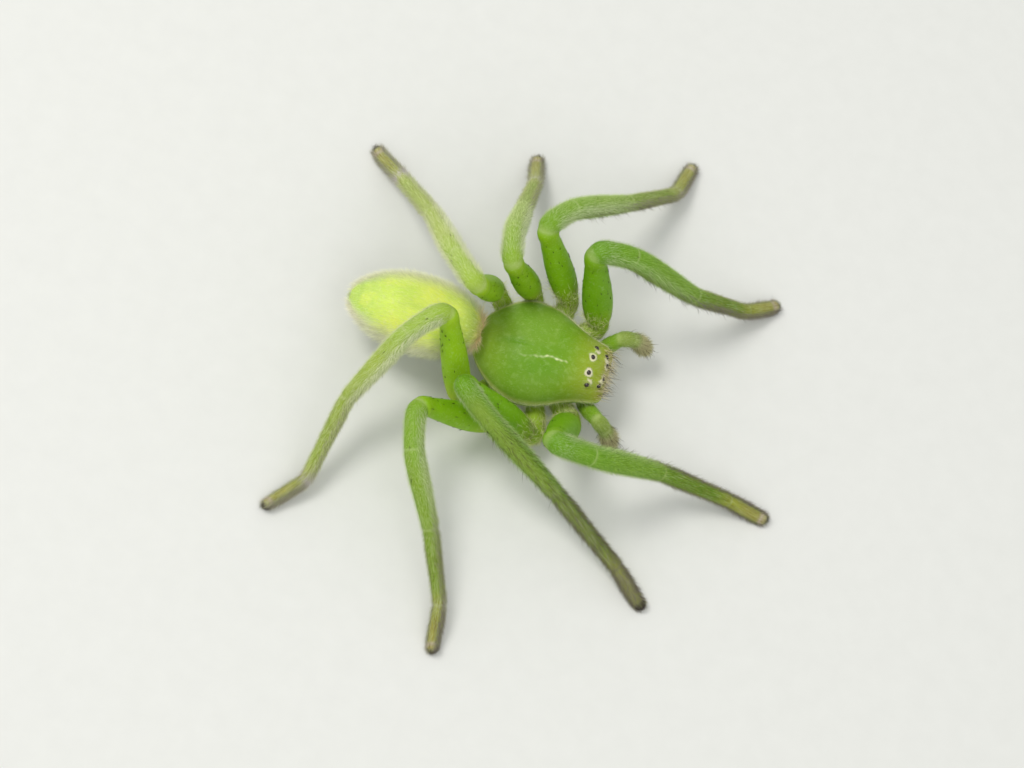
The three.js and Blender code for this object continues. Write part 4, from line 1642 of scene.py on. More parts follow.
@dataclass
class Leg:
    """One leg from its coxa to its claws, under one skin.

    Its share runs from 0 at the root to 5 at the tip, with a whole number at each of the four joints
    between coxa, femur, tibia, metatarsus and tarsus.

    Attributes:
        axes: How the body lies.
        side: Its side.
        number: Its pair, from 1 at the front to 4 at the rear.
    """

    axes: BodyAxes
    side: Side
    number: int

    PARTS = ("coxa", "femur", "tibia", "metatarsus", "tarsus")
    COXA_ROOT = -0.78
    COXA_BASE = -0.25
    PATELLA = 2.35
    PATELLA_LIFT = 15
    PAD_HEIGHT = 0.27
    PAD_LENGTH = 0.5
    TIP = 0.2
    BENDS = (0.55, 0.95, 0.9, 0.6, 0.5, 0.2)
    HIP_CUT = 0.6
    KNEE_CUT = 1.0
    KNEE_LINE = 0.1
    PROFILES = (
        Profile(((0, 0.27), (0.25, 0.47), (0.6, 0.57), (0.85, 0.54), (1, 0.51))),
        Profile(((0, 0.52), (0.1, 0.67), (0.36, 0.76), (0.62, 0.72), (0.87, 0.61), (1, 0.57))),
        Profile((
            (0, 0.56), (0.12, 0.63), (0.27, 0.585), (0.36, 0.575), (0.55, 0.6), (0.85, 0.52), (1, 0.46))),
        Profile(((0, 0.44), (0.15, 0.46), (0.6, 0.41), (1, 0.39))),
        Profile(((0, 0.36), (0.3, 0.38), (0.75, 0.36), (0.9, 0.34), (1, 0.22))),
    )
    COAT_DEPTHS = (0.03, 0.02, 0.05, 0.06, 0.06)
    THIGH = Tone((0.124, 0.280, 0.002), (0.24, 0.425, 0.006))
    SHIN = Tone((0.132, 0.315, 0.004), (0.36, 0.51, 0.06))
    WRIST = Tone((0.118, 0.255, 0.003), (0.31, 0.41, 0.04))
    TOE = Tone((0.35, 0.38, 0.035), (0.39, 0.42, 0.08))
    THIGH_HAIR = Tone((0.30, 0.47, 0.06), (0.55, 0.68, 0.18))
    SHIN_HAIR = Tone((0.36, 0.56, 0.08), (0.84, 0.88, 0.52))
    WRIST_HAIR = Tone((0.27, 0.31, 0.06), (0.68, 0.74, 0.36))
    TOE_HAIR = Tone((0.42, 0.45, 0.16), (0.56, 0.58, 0.34))
    BRUSH_HAIR = Tone((0.25, 0.21, 0.195), (0.52, 0.47, 0.42))
    BRISTLE_HAIR = Tone((0.08, 0.06, 0.03), (0.34, 0.34, 0.16))
    COXA_TINT = (0.42, 0.60, 0.04)
    FOLD_TINT = (0.52, 0.60, 0.26)
    DOT_TINT = (0.035, 0.05, 0.008)
    DOWN = Coat(300, 0.21, 0.0105, 100, bend=0.3, stray=0.35, joints=1)
    BRUSH = Coat(600, 0.24, 0.012, 200, stray=0.35, joints=1)
    BRISTLES = Coat(18, 0.5, 0.016, 300, bend=0.35, stray=0.35, joints=3)
    TANGLE = Coat(110, 0.46, 0.018, 800, bend=0.5, stray=0.9)
    DOTS = Coat(1.7, 0.15, 0.05, 900, bend=0.3, stray=0.3, joints=3)

    def __post_init__(self) -> None:
        """Works out the leg's line and where its lengths part."""
        label = f"{self.side.value}{self.number}"
        self.name, self.turn = f"leg_{label}", 10 * self.number + self.side.turn
        self.pair, self.pose = LEG_PAIRS[self.number], LEG_POSES[label]
        corners = self.corners()
        self.path = LimbPath(corners, self.BENDS, (1, knee_side(corners)))
        hip, knee, self.patella_end, ankle, foot, _ = self.path.marks
        self.ends = [0, hip + self.HIP_CUT, knee - self.KNEE_CUT, ankle, foot, self.path.length]
        self.parts = [0, hip + self.HIP_CUT, knee - self.KNEE_LINE, ankle, foot, self.path.length]

    def corners(self) -> Array:
        """Corners of the leg's line.

        Returns:
            Eight points from the breast plate to the tip of the foot.
        """
        sign, pair, pose = self.side.sign, self.pair, self.pose
        root = self.axes.place([pair.root[0], sign * pair.root[1], self.COXA_ROOT])
        base = self.axes.place([pose.base[0], sign * pose.base[1], self.COXA_BASE])
        thigh, shin = heading(*pose.femur, sign), heading(*pose.tibia, sign)
        knee = base + thigh * pair.femur
        raised = unit(thigh - shin * float(thigh @ shin))
        lift = math.radians(self.PATELLA_LIFT)
        patella = knee + self.PATELLA * (shin * math.cos(lift) + raised * math.sin(lift))
        ankle = knee + shin * pair.tibia
        foot = ankle + heading(*pose.metatarsus, sign) * pair.metatarsus
        reach = pair.tarsus - self.PAD_LENGTH
        drop = math.degrees(math.asin((foot[2] - self.PAD_HEIGHT) / reach))
        pad = foot + heading(pose.tarsus, -drop, sign) * reach
        tip = pad + heading(pose.tarsus, 0, sign) * self.PAD_LENGTH
        return np.array([root, base, knee, patella, ankle, foot, pad, tip])

    def girth(self, places: Array) -> Array:
        """Radius of the skin under the down.

        Args:
            places: Distances from the root.

        Returns:
            The radius at each.
        """
        radius = np.zeros(len(places))
        for profile, depth, start, end in zip(self.PROFILES, self.COAT_DEPTHS, self.ends, self.ends[1:]):
            here = (places >= start) & (places <= end)
            radius[here] = profile.at((places[here] - start) / (end - start)) * self.pair.girth - depth
        return smoothed(radius, 4)

    def joints(self) -> list[tuple[float, float, float]]:
        """The fold at each joint.

        Returns:
            Its place, depth and width, from the root on.
        """
        _, hip, knee, ankle, foot, _ = self.parts
        return [(hip - 1.0, 0.05, 0.09), (hip, 0.06, 0.1), (knee, 0.05, 0.1),
                (self.patella_end, 0.03, 0.08), (ankle, 0.045, 0.09), (foot, 0.05, 0.08)]

    def build(self) -> Skin:
        """The leg's skin.

        Returns:
            The skin, its rows from the root to the tip.
        """
        tube = Tube(self.path)
        places, angles = tube.places(self.TIP), tube.angles()
        upper = np.cos(angles)[None, :]
        radius = self.girth(places)[:, None] * (1 + 0.03 * np.cos(2 * angles))[None, :]
        for place, depth, width in self.joints():
            fold = bell(places, place, width)[:, None]
            away, wide = 2.2 * width, 1.5 * width
            swell = bell(places, place - away, wide) + bell(places, place + away, wide)
            radius = radius - depth * fold * (0.75 - 0.4 * upper) + 0.25 * depth * swell[:, None]
        self.place = tube.cap(tube.round(places))
        self.place[-tube.CAP:] += np.linspace(0, self.TIP, tube.CAP + 1)[1:, None]
        self.upper = tube.cap(np.broadcast_to(upper, radius.shape))
        self.share = np.interp(self.place, self.parts, range(len(self.parts)))
        skin = tube.lay(radius, places, self.COXA_TINT)
        skin.tint = self.color()
        skin.extras["lined"] = 0.25 * ramp(self.share, 2.1, 2.5) + 0.75 * ramp(self.share, 2.6, 3.3)
        return skin

    def color(self) -> Array:
        """Tint of the leg's cuticle.

        Returns:
            One colour for each point.
        """
        t, up, pale = self.share, self.upper, self.pose.pale
        # The femur tint is raised by painted light, by a share of its own for each leg.
        thigh, shin, wrist = self.THIGH.at(pale) * self.pose.bright, self.SHIN.at(pale), self.WRIST.at(pale)
        tints = {
            "base": mix(thigh, self.COXA_TINT, np.array(0.8)), "hip": thigh * np.array([1.35, 1.05, 2.0]),
            "thigh": thigh, "knee": thigh * np.array([1.2, 1.05, 1.8]), "patella": shin,
            "shin": shin * np.array([0.98, 0.9, 0.8]), "ankle": wrist, "wrist": wrist,
            "toe": self.TOE.at(pale), "ridge": (0.36, 0.28, 0.06), "patch": (0.52, 0.44, 0.36),
            "tuft": (0.08, 0.06, 0.055), "below": (0.30, 0.34, 0.06),
        }
        color = layered(
            tints, t.shape,
            hip=ramp(t, 0.7, 1.0),
            thigh=ramp(t, 1.05, 1.35),
            knee=0.7 * ramp(t, 1.8, 1.98),
            patella=ramp(t, 1.985, 2.012),
            shin=ramp(t, 2.3, 2.6),
            ankle=0.75 * ramp(t, 2.6, 2.98),
            wrist=ramp(t, 2.985, 3.01),
            toe=ramp(t, 3.7, 4.05),
            ridge=0.6 * ramp(t, 4.15, 4.5) * ramp(up, 0.35, 0.85) * (1 - 0.4 * pale),
            patch=0.8 * bell(t, 4.87, 0.06) * ramp(up, -0.1, 0.6),
            tuft=0.85 * self.tuft(),
        )
        for place, _, width in self.joints()[1:]:
            fold = bell(self.place, place, 0.7 * width)
            color = mix(color, self.FOLD_TINT, 0.5 * fold * ramp(up, -0.2, 0.8))
        return mix(color, tints["below"], 0.45 * ramp(-up, 0.2, 1) * ramp(t, 2.0, 2.2))

    def tuft(self) -> Array:
        """The dark tuft at the foot's end and below it: 1 in it and 0 away from it."""
        below = ramp(self.share, 4.86, 4.93) * ramp(-self.upper, -0.2, 0.5)
        return np.maximum(ramp(self.share, 4.935, 4.98), below)

    def down(self) -> Growth:
        """Short down, palest on patella and tibia and dusky towards the foot.

        Returns:
            How it grows.
        """
        t, up, pale, tangle = self.share, self.upper, self.pose.pale, self.pair.tangle
        thigh, shin, end = ramp(t, 0.9, 1.15), ramp(t, 1.96, 2.08), ramp(t, 2.75, 3.4)
        edge = 1 - ramp(np.abs(up), 0.2, 0.9)
        weight = 0.5 * tangle + 0.15 + (0.1 - 0.5 * tangle) * thigh
        weight = weight + 0.45 * shin + 0.2 * end + 0.25 * ramp(t, 3.9, 4.2)
        weight = weight + 0.8 * edge * shin * (0.25 + 0.8 * pale)
        reach = 1.0 - 0.4 * thigh + 0.3 * shin + (0.2 + 0.35 * pale) * shin * edge
        reach = reach + 0.35 * pale * bell(t, 4.0, 0.13)
        tints = {
            "base": (0.60, 0.66, 0.26), "thigh": self.THIGH_HAIR.at(pale), "shin": self.SHIN_HAIR.at(pale),
            "edge": (0.90, 0.92, 0.70), "knee": (0.66, 0.74, 0.46), "wrist": self.WRIST_HAIR.at(pale),
            "toe": self.TOE_HAIR.at(pale), "foot": (0.70, 0.64, 0.68), "patch": (0.70, 0.60, 0.52),
            "tuft": (0.09, 0.07, 0.065),
        }
        tint = layered(
            tints, t.shape,
            thigh=thigh,
            shin=shin,
            edge=(0.25 + 0.55 * pale) * edge * shin * (1 - ramp(t, 2.6, 3.3)),
            knee=0.6 * (1 - pale) * bell(t, 2.05, 0.08),
            wrist=end,
            toe=ramp(t, 3.9, 4.2),
            foot=0.85 * pale * bell(t, 3.98, 0.1),
            patch=0.9 * bell(t, 4.87, 0.06) * ramp(up, -0.1, 0.6),
            tuft=0.85 * self.tuft(),
        )
        return Growth(weight, 0.75 - 0.25 * thigh + 0.5 * shin, reach, tint)

    def brush(self, along: Array) -> Growth:
        """Dense dusky brush along both sides of metatarsus and tarsus, with the dark tuft at the tip.

        Args:
            along: Direction of the leg at each point.

        Returns:
            How it grows.
        """
        t, low, pale, tip = self.share, -self.upper, self.pose.pale, self.tuft()
        side = 1 - ramp(np.abs(self.upper), 0.25, 0.7)
        below = np.maximum(ramp(low, -0.1, 0.4), side)
        weight = ramp(t, 2.7, 3.3) * (0.45 + 0.4 * ramp(t, 3.8, 4.2)) * below
        weight = weight * (1 - 0.5 * pale * (1 - ramp(t, 3.9, 4.2))) + 0.8 * tip * ramp(low, -1.0, -0.2)
        tints = {"base": self.BRUSH_HAIR.at(pale), "dusk": (0.22, 0.18, 0.17), "tip": (0.06, 0.045, 0.05)}
        tint = layered(tints, t.shape, dusk=0.6 * self.pose.dusk * ramp(t, 3.9, 4.3), tip=tip)
        reach = 0.9 + 0.35 * side * (1 - tip) + 0.1 * ramp(t, 3.9, 4.2) - 0.25 * tip
        return Growth(weight, 0.95 - 0.4 * tip, reach, tint, unit(along + np.array([0, 0, -0.25])))

    def bristles(self) -> Growth:
        """Fine dark bristles, most of them below tibia and metatarsus.

        Returns:
            How they grow.
        """
        forward = 1.0 if self.number < 3 else 0.7
        shin = plateau(self.share, 2.1, 2.4, 3.85, 4.0) * (0.08 + 0.92 * ramp(-self.upper, -0.35, 0.4))
        dark = self.BRISTLE_HAIR.at(self.pose.pale)
        return Growth(shin * forward, 0.6 + 0.2 * shin, (0.5 + 0.5 * shin) * forward, dark)

    def dots(self) -> Growth:
        """Short thick bristles that dot the femur."""
        weight = plateau(self.share, 1.0, 1.15, 1.85, 1.95) + 0.4 * bell(self.share, 2.4, 0.3)
        return Growth(weight, 0.35, 1, self.DOT_TINT)

    def tangle(self) -> Growth:
        """Loose pale hairs with a few dark ones over the leg's root.

        Returns:
            How they grow.
        """
        weight = plateau(self.share, 0.3, 0.6, 1.0, 1.3) * ramp(self.upper, -0.5, 0.2) * self.pair.tangle
        dark = np.sin(37 * self.place) * np.sin(5 * np.arccos(np.clip(self.upper, -1, 1)))
        tints = {"base": (0.92, 0.95, 0.46), "dark": (0.16, 0.11, 0.07)}
        return Growth(weight, 0.5, 1, layered(tints, dark.shape, dark=ramp(dark, 0.4, 0.6)))

    def claws(self) -> bpy.types.Object:
        """The pair of small hooked claws in the tuft.

        Returns:
            Both claws as one piece.
        """
        tip, tangent, up = (v[0] for v in self.path.at(np.array([self.path.length - 0.06])))
        side = np.cross(tangent, up)
        parts = []
        for sign in (1, -1):
            start = tip + sign * 0.07 * side - 0.02 * up
            bend = start + 0.14 * tangent + 0.03 * up
            point = bend + 0.06 * tangent - 0.11 * up + 0.02 * sign * side
            parts.append(horn([start, bend, point], 0.09, Profile(((0, 0.035), (0.6, 0.024), (1, 0.006)))))
        return join_horns(f"{self.name}_claws", parts)

    def dress(self) -> None:
        """Makes the leg's skin, hair and claws."""
        skin = self.build()
        nodes = [f"{self.name}_{part}" for part in self.PARTS]
        skin.piece(f"{self.name}_skin", CuticleFinish(), Slot.LIMB, nodes)
        coats = (
            ("down", self.DOWN, self.down()), ("bristles", self.BRISTLES, self.bristles()),
            ("dots", self.DOTS, self.dots()), ("tangle", self.TANGLE, self.tangle()),
            ("brush", self.BRUSH, self.brush(skin.along)),
        )
        for label, coat, growth in coats:
            slot = Slot.FOOT if coat is self.BRUSH else Slot.LIMB
            coat.grow(f"{self.name}_{label}", skin, growth, slot, self.turn)
        settle(self.claws())


def knee_side(corners: Array) -> Array:
    """The way in which a limb's knee points."""
    thigh, shin = unit(corners[2] - corners[1]), unit(corners[4] - corners[2])
    return unit(thigh * float(thigh @ shin) - shin)


def horn(corners: Sequence[Array], bend: float, profile: Profile) -> Skin:
    """A small hooked cone.

    Args:
        corners: Its root, its bend and its point.
        bend: How far from the middle corner the hook starts.
        profile: Its radius from root to point.

    Returns:
        A skin in the tint of dark horn.
    """
    line = np.array(corners)
    up = unit(np.cross(unit(line[1] - line[0]), np.array([0.2, 0.9, 0.4])))
    tube = Tube(LimbPath(line, (bend,), (0, up)), spacing=0.012, columns=10)
    places = tube.places(0.0)
    return tube.lay(profile.at(places / places[-1]), places, (0.022, 0.012, 0.009))


def join_horns(name: str, parts: Sequence[Skin]) -> bpy.types.Object:
    """One or more small cones as one piece.

    Args:
        name: Name of the piece.
        parts: The cones.

    Returns:
        The joined piece, with the finish of horn.
    """
    made = [add_object(f"{name}_{i}", part.mesh(name)) for i, part in enumerate(parts)]
    first = made[0]
    if len(made) > 1:
        with bpy.context.temp_override(active_object=first, selected_editable_objects=made, object=first):
            bpy.ops.object.join()
    first.name = name
    first.data.materials.append(ClawFinish().material())
    return first


@dataclass
class Palp:
    """One palp from the mouth to its tip.

    Attributes:
        axes: How the body lies.
        side: Its side.
        line: Its corners on the body's own axes: root, hip, knee, wrist and tip.
    """

    axes: BodyAxes
    side: Side
    line: tuple[Point, ...]

    BENDS = (0.35, 0.5, 0.45)
    THIGH = Profile(((0, 0.3), (0.3, 0.41), (0.7, 0.45), (1, 0.4)))
    END = Profile(((0, 0.4), (0.15, 0.44), (0.45, 0.41), (0.75, 0.42), (0.92, 0.36), (1, 0.2)))
    KNEE_CUT = 0.3
    COAT_DEPTH = 0.02
    TINTS = {"base": (0.230, 0.420, 0.020), "shin": (0.26, 0.35, 0.06), "end": (0.30, 0.25, 0.10)}
    FOLD_TINT = (0.52, 0.60, 0.22)
    DOWN_TINTS = {"base": (0.50, 0.62, 0.24), "end": (0.55, 0.52, 0.28)}
    BRISTLE_TINT = (0.05, 0.03, 0.02)
    DOWN = Coat(420, 0.26, 0.0115, 400, stray=0.45, joints=1)
    BRISTLES = Coat(13, 0.56, 0.02, 410, bend=0.3, stray=0.35, joints=3)

    def build(self) -> Skin:
        """The palp's skin.

        Returns:
            The skin, its rows from the root to the tip.
        """
        corners = self.axes.place(self.line)
        path = LimbPath(corners, self.BENDS, (1, knee_side(corners)))
        tube = Tube(path, spacing=0.05, columns=28)
        places = tube.places(0.12)
        hip, knee, wrist = path.marks
        cut = knee - self.KNEE_CUT
        rest = self.END.at((places - cut) / (path.length - cut))
        radius = smoothed(np.where(places < cut, self.THIGH.at(places / cut), rest), 4) - self.COAT_DEPTH
        upper = np.cos(tube.angles())[None, :]
        grid, where = tube.round(radius), tube.round(places)
        folds = (hip + 0.1, knee - 0.1, knee + 0.6, wrist + 0.15)
        for place in folds:
            grid = grid - 0.035 * bell(places, place, 0.07)[:, None] * (0.85 - 0.3 * upper)
        tint = layered(self.TINTS, grid.shape, shin=ramp(where, cut, cut + 0.4),
                       end=ramp(where, wrist - 0.3, wrist + 0.4))
        for place in folds[1:]:
            tint = mix(tint, self.FOLD_TINT, 0.5 * bell(where, place, 0.08) * ramp(upper, 0.3, 0.9))
        self.end = tube.cap(ramp(where, knee + 0.4, wrist + 0.1))
        skin = tube.lay(grid, places, tint)
        skin.extras["lined"] = 0.6 * self.end
        return skin

    def dress(self) -> None:
        """Makes the palp's skin and hair."""
        name, skin = f"palp_{self.side.value}", self.build()
        skin.piece(f"{name}_skin", CuticleFinish(), Slot.FACE, [f"{name}_femur", f"{name}_tarsus"])
        end, turn = self.end, self.side.turn
        tint = layered(self.DOWN_TINTS, end.shape, end=end)
        growth = Growth(0.4 + 0.6 * end, 0.6 + 0.3 * end, 0.7 + 0.4 * end, tint)
        self.DOWN.grow(f"{name}_down", skin, growth, Slot.FACE, turn)
        growth = Growth(0.4 + 0.6 * end, 0.8, 0.6 + 0.4 * end, self.BRISTLE_TINT)
        self.BRISTLES.grow(f"{name}_bristles", skin, growth, Slot.FACE, turn)


@dataclass
class Jaw:
    """One chelicera with its folded fang.

    Attributes:
        axes: How the body lies.
        side: Its side.
        root: Where it leaves the face, on the body's own axes for the left side.
        knee: Its upper front corner.
        tip: Its lower end.
        radius: Its greatest radius.
        reach: Length of the fang.
    """

    axes: BodyAxes
    side: Side
    root: Point = (2.75, 0.52, -0.16)
    knee: Point = (3.38, 0.52, -0.36)
    tip: Point = (3.36, 0.48, -1.65)
    radius: float = 0.46
    reach: float = 0.62

    GIRTH = Profile(((0, 0.7), (0.3, 1), (0.7, 0.92), (0.92, 0.72), (1, 0.5)))
    FANG = Profile(((0, 0.16), (0.5, 0.1), (1, 0.012)))
    COAT_DEPTH = 0.02
    TINTS = {"base": (0.25, 0.35, 0.05), "end": (0.36, 0.33, 0.10)}
    HAIR_TINTS = {"base": (0.58, 0.60, 0.30), "end": (0.55, 0.38, 0.24)}
    BRISTLE_TINT = (0.05, 0.03, 0.02)
    HAIR = Coat(160, 0.24, 0.0125, 500, stray=0.35, joints=1)
    BRISTLES = Coat(13, 0.42, 0.02, 510, stray=0.3, joints=3)

    def build(self) -> Skin:
        """The jaw's skin.

        Returns:
            The skin, its rows from the face down to the fang.
        """
        corners = self.axes.place(np.array([self.root, self.knee, self.tip]) * self.mirror())
        path = LimbPath(corners, (0.55,), (1, self.axes.lead([1, 0, 0])))
        tube = Tube(path, spacing=0.03, columns=36)
        places = tube.places(0.12)
        share = places / path.length
        where = tube.round(share)
        self.far = tube.cap(where)
        self.front = tube.cap(np.broadcast_to(np.cos(tube.angles()), where.shape))
        tint = layered(self.TINTS, where.shape, end=0.8 * ramp(where, 0.6, 1.0))
        return tube.lay((self.radius - self.COAT_DEPTH) * self.GIRTH.at(share), places, tint)

    def mirror(self) -> Array:
        """Turns a place on the left side into one on this jaw's side."""
        return np.array([1, self.side.sign, 1])

    def dress(self) -> None:
        """Makes the jaw's skin, its hair and its fang."""
        name, skin = f"chelicera_{self.side.value}", self.build()
        skin.piece(f"{name}_skin", CuticleFinish(), Slot.FACE, [name])
        far, front, turn = self.far, self.front, self.side.turn
        pale = layered(self.HAIR_TINTS, far.shape, end=ramp(far, 0.8, 1))
        growth = Growth(0.4 + 0.6 * ramp(front, -0.3, 0.6), 0.6, 0.9 + 0.2 * far, pale)
        self.HAIR.grow(f"{name}_hair", skin, growth, Slot.FACE, turn)
        growth = Growth(ramp(front, -0.2, 0.6) * ramp(far, 0.2, 0.5), 0.8, 1, self.BRISTLE_TINT)
        self.BRISTLES.grow(f"{name}_bristles", skin, growth, Slot.FACE, turn)
        claw = np.array(self.tip) * self.mirror() + np.array([0.02, 0, 0.12])
        bend = claw + np.array([-0.08, -0.12 * self.side.sign, -0.32])
        point = bend + np.array([-self.reach, -0.12 * self.side.sign, 0.05])
        fang = horn(self.axes.place([claw, bend, point]), 0.14, self.FANG)
        settle(join_horns(f"fang_{self.side.value}", [fang]))


@dataclass
class Underside:
    """Breast plate, waist, mouth parts and spinnerets.

    Attributes:
        axes: How the body lies.
        abdomen: The abdomen, which carries the spinnerets.
        outline: Half the breast plate's width along its length.
        top: Height of the plate's upper face.
        wall: Its thickness at the edge.
        crown: How much it bulges.
    """

    axes: BodyAxes
    abdomen: Abdomen
    outline: Profile = Profile((
        (-2.1, 0.12), (-1.75, 0.42), (-1.2, 0.78), (-0.5, 1.05), (0.2, 1.1), (0.8, 1.0), (1.3, 0.75),
        (1.55, 0.35)))
    top: float = -0.45
    wall: float = 0.5
    crown: float = 0.22

    WAIST = ((-2.85, 0.0, -0.12), (-3.4, 0.0, 0.02), (-4.0, 0.0, 0.15))
    WAIST_RADIUS = 0.26
    WAIST_TINT = (0.22, 0.33, 0.05)
    SPINNERET_PLACE = -9.75
    SPINNERET_GAP = 0.22
    DROOP = 38.0
    SPREAD = 0.26
    MOUND = Profile(((0, 0.5), (0.7, 0.46), (1, 0.34)))
    SPINNERET = Profile(((0, 0.15), (0.55, 0.125), (0.62, 0.11), (1, 0.06)))
    SPINNERET_TINT = (0.50, 0.52, 0.24)
    SPINNERET_HAIR_TINT = (0.74, 0.74, 0.48)
    LOBE = Profile(((0, 0.2), (0.4, 0.3), (0.8, 0.29), (1, 0.2)))
    LIP = Profile(((0, 0.17), (0.5, 0.2), (1, 0.13)))
    LIP_LINE = ((1.7, 0, -0.95), (1.95, 0, -0.98), (2.15, 0, -0.95))
    PLATE_TINTS = {"base": (0.30, 0.42, 0.08), "edge": (0.20, 0.32, 0.04)}
    PLATE_HAIR_TINT = (0.60, 0.66, 0.36)
    LOBE_TINTS = {"base": (0.32, 0.36, 0.09), "end": (0.55, 0.50, 0.26)}
    LOBE_HAIR_TINT = (0.45, 0.32, 0.22)
    PLATE_HAIR = Coat(180, 0.22, 0.012, 31, joints=1)
    LOBE_HAIR = Coat(220, 0.18, 0.012, 600, joints=1)
    SPINNERET_HAIR = Coat(320, 0.14, 0.0115, 700, joints=1)

    def stalk(self, corners: Array, bend: float, spacing: float, columns: int) -> Tube:
        """A short tube through three corners, its upper side up."""
        path = LimbPath(self.axes.place(corners), (bend,), (0, self.axes.lead([0, 0, 1])))
        return Tube(path, spacing, columns)

    def breast_plate(self) -> None:
        """The heart-shaped plate between the leg roots, with its short hair."""
        rows, columns = 60, 40
        ahead = np.linspace(*self.outline.span(), rows)
        half = self.outline.at(ahead)[:, None]
        turn = np.linspace(0, np.pi, columns)[None, :]
        y = half * np.cos(turn)
        bulge = np.sin(turn) ** 0.8 * np.minimum(1, half / 0.8)
        z = self.top - self.wall - self.crown * bulge
        lower = np.stack([np.broadcast_to(ahead[:, None], y.shape), y, z], -1)
        lids = [np.stack([ahead, sign * half[:, 0] * 0.97, np.full(rows, self.top)], -1) for sign in (-1, 1)]
        own = np.concatenate([np.stack(lids, 1), lower], axis=1)
        tint = layered(self.PLATE_TINTS, own.shape[:2], edge=ramp(np.abs(own[..., 1]) / half, 0.75, 1))
        skin = Skin(self.axes.place(own), np.broadcast_to(self.axes.lead([-1, 0, 0]), own.shape), tint)
        skin.piece("sternum_skin", CuticleFinish(), Slot.LIMB, ["sternum"])
        self.PLATE_HAIR.grow("sternum_hair", skin, Growth(1, 0.5, 1, self.PLATE_HAIR_TINT), Slot.LIMB)

    def waist(self) -> None:
        """The short stalk between shield and abdomen."""
        tube = self.stalk(self.WAIST, 0.2, 0.04, 24)
        places = tube.places(0.0)
        ringed = 1 - 0.12 * np.cos(2 * np.pi * places / 0.28) ** 2
        skin = tube.lay(self.WAIST_RADIUS * ringed, places, self.WAIST_TINT, round_end=False)
        skin.piece("pedicel_skin", CuticleFinish(), Slot.LIMB, ["pedicel"])

    def lobe(self, points: Array, girth: Profile, flatness: float) -> Skin:
        """One soft lobe of the mouth.

        Args:
            points: Its three corners on the body's own axes.
            girth: Its radius from root to end.
            flatness: Its thickness as a share of its width.

        Returns:
            Its skin.
        """
        tube = self.stalk(points, 0.2, 0.04, 24)
        places = tube.places(0.1)
        squash = 1 - (1 - flatness) * np.cos(tube.angles()) ** 2
        grid = girth.at(places / tube.path.length)[:, None] * squash[None, :]
        tint = layered(self.LOBE_TINTS, grid.shape, end=tube.round(ramp(places, 0.3, 0.75)))
        return tube.lay(grid, places, tint)

    def mouth(self) -> None:
        """The lower lip and the two jaw lobes beside it, with their brush of hair."""
        for side in Side:
            name, sign = f"maxilla_{side.value}", side.sign
            corners = [[1.7, sign * 0.42, -0.85], [2.1, sign * 0.4, -0.9], [2.48, sign * 0.3, -0.86]]
            skin = self.lobe(np.array(corners), self.LOBE, 0.85)
            skin.piece(name, CuticleFinish(), Slot.FACE, ["mouthparts"] if side is Side.LEFT else ())
            rows, columns = skin.rows.shape[:2]
            end = np.broadcast_to(np.linspace(0, 1, rows)[:, None], (rows, columns))
            growth = Growth(0.3 + end, 0.5, 0.8 + 0.3 * end, self.LOBE_HAIR_TINT)
            self.LOBE_HAIR.grow(f"{name}_hair", skin, growth, Slot.FACE, sign)
        self.lobe(np.array(self.LIP_LINE), self.LIP, 0.7).piece("lower_lip", CuticleFinish(), Slot.FACE)

    def cones(self) -> list[tuple[Point, Point, Profile, int]]:
        """The mound and the six spinnerets on it.

        Returns:
            Root, end, radius and columns of each, on axes of their own.
        """
        cones = [((1.0, 0, 0.1), (-0.12, 0, 0), self.MOUND, 24)]
        for lift, reach, aside in ((0.17, 1, 0.75), (0, 0.7, 0.4), (-0.19, 0.9, 0.75)):
            for sign in (1, -1):
                root = (-0.08, sign * aside * self.SPREAD, lift)
                end = (-0.08 - 0.46 * reach, sign * (aside * self.SPREAD + 0.05), lift * 1.3)
                cones.append((root, end, self.SPINNERET, 14))
        return cones

    def spinnerets(self) -> None:
        """Six spinnerets on a low mound under the abdomen's tip."""
        place, gap = self.SPINNERET_PLACE, self.SPINNERET_GAP
        start = np.array([place - gap, 0, self.abdomen.under(place) - gap])
        tilt = np.array(Matrix.Rotation(-math.radians(self.DROOP), 3, "Y"))
        for number, (root, end, girth, columns) in enumerate(self.cones()):
            name = f"spinneret_{number}"
            corners = np.array([root, (np.array(root) + np.array(end)) / 2, end]) @ tilt.T + start
            tube = self.stalk(corners, 0.04, 0.02, columns)
            places = tube.places(0.02)
            skin = tube.lay(girth.at(places / tube.path.length), places, self.SPINNERET_TINT)
            skin.piece(name, CuticleFinish(), Slot.ABDOMEN, ["spinnerets"] if number == 0 else ())
            growth = Growth(1, 0.5, 1, self.SPINNERET_HAIR_TINT)
            self.SPINNERET_HAIR.grow(f"{name}_hair", skin, growth, Slot.ABDOMEN, number)

    def dress(self) -> None:
        """Makes all of the underside."""
        self.breast_plate()
        self.waist()
        self.mouth()
        self.spinnerets()


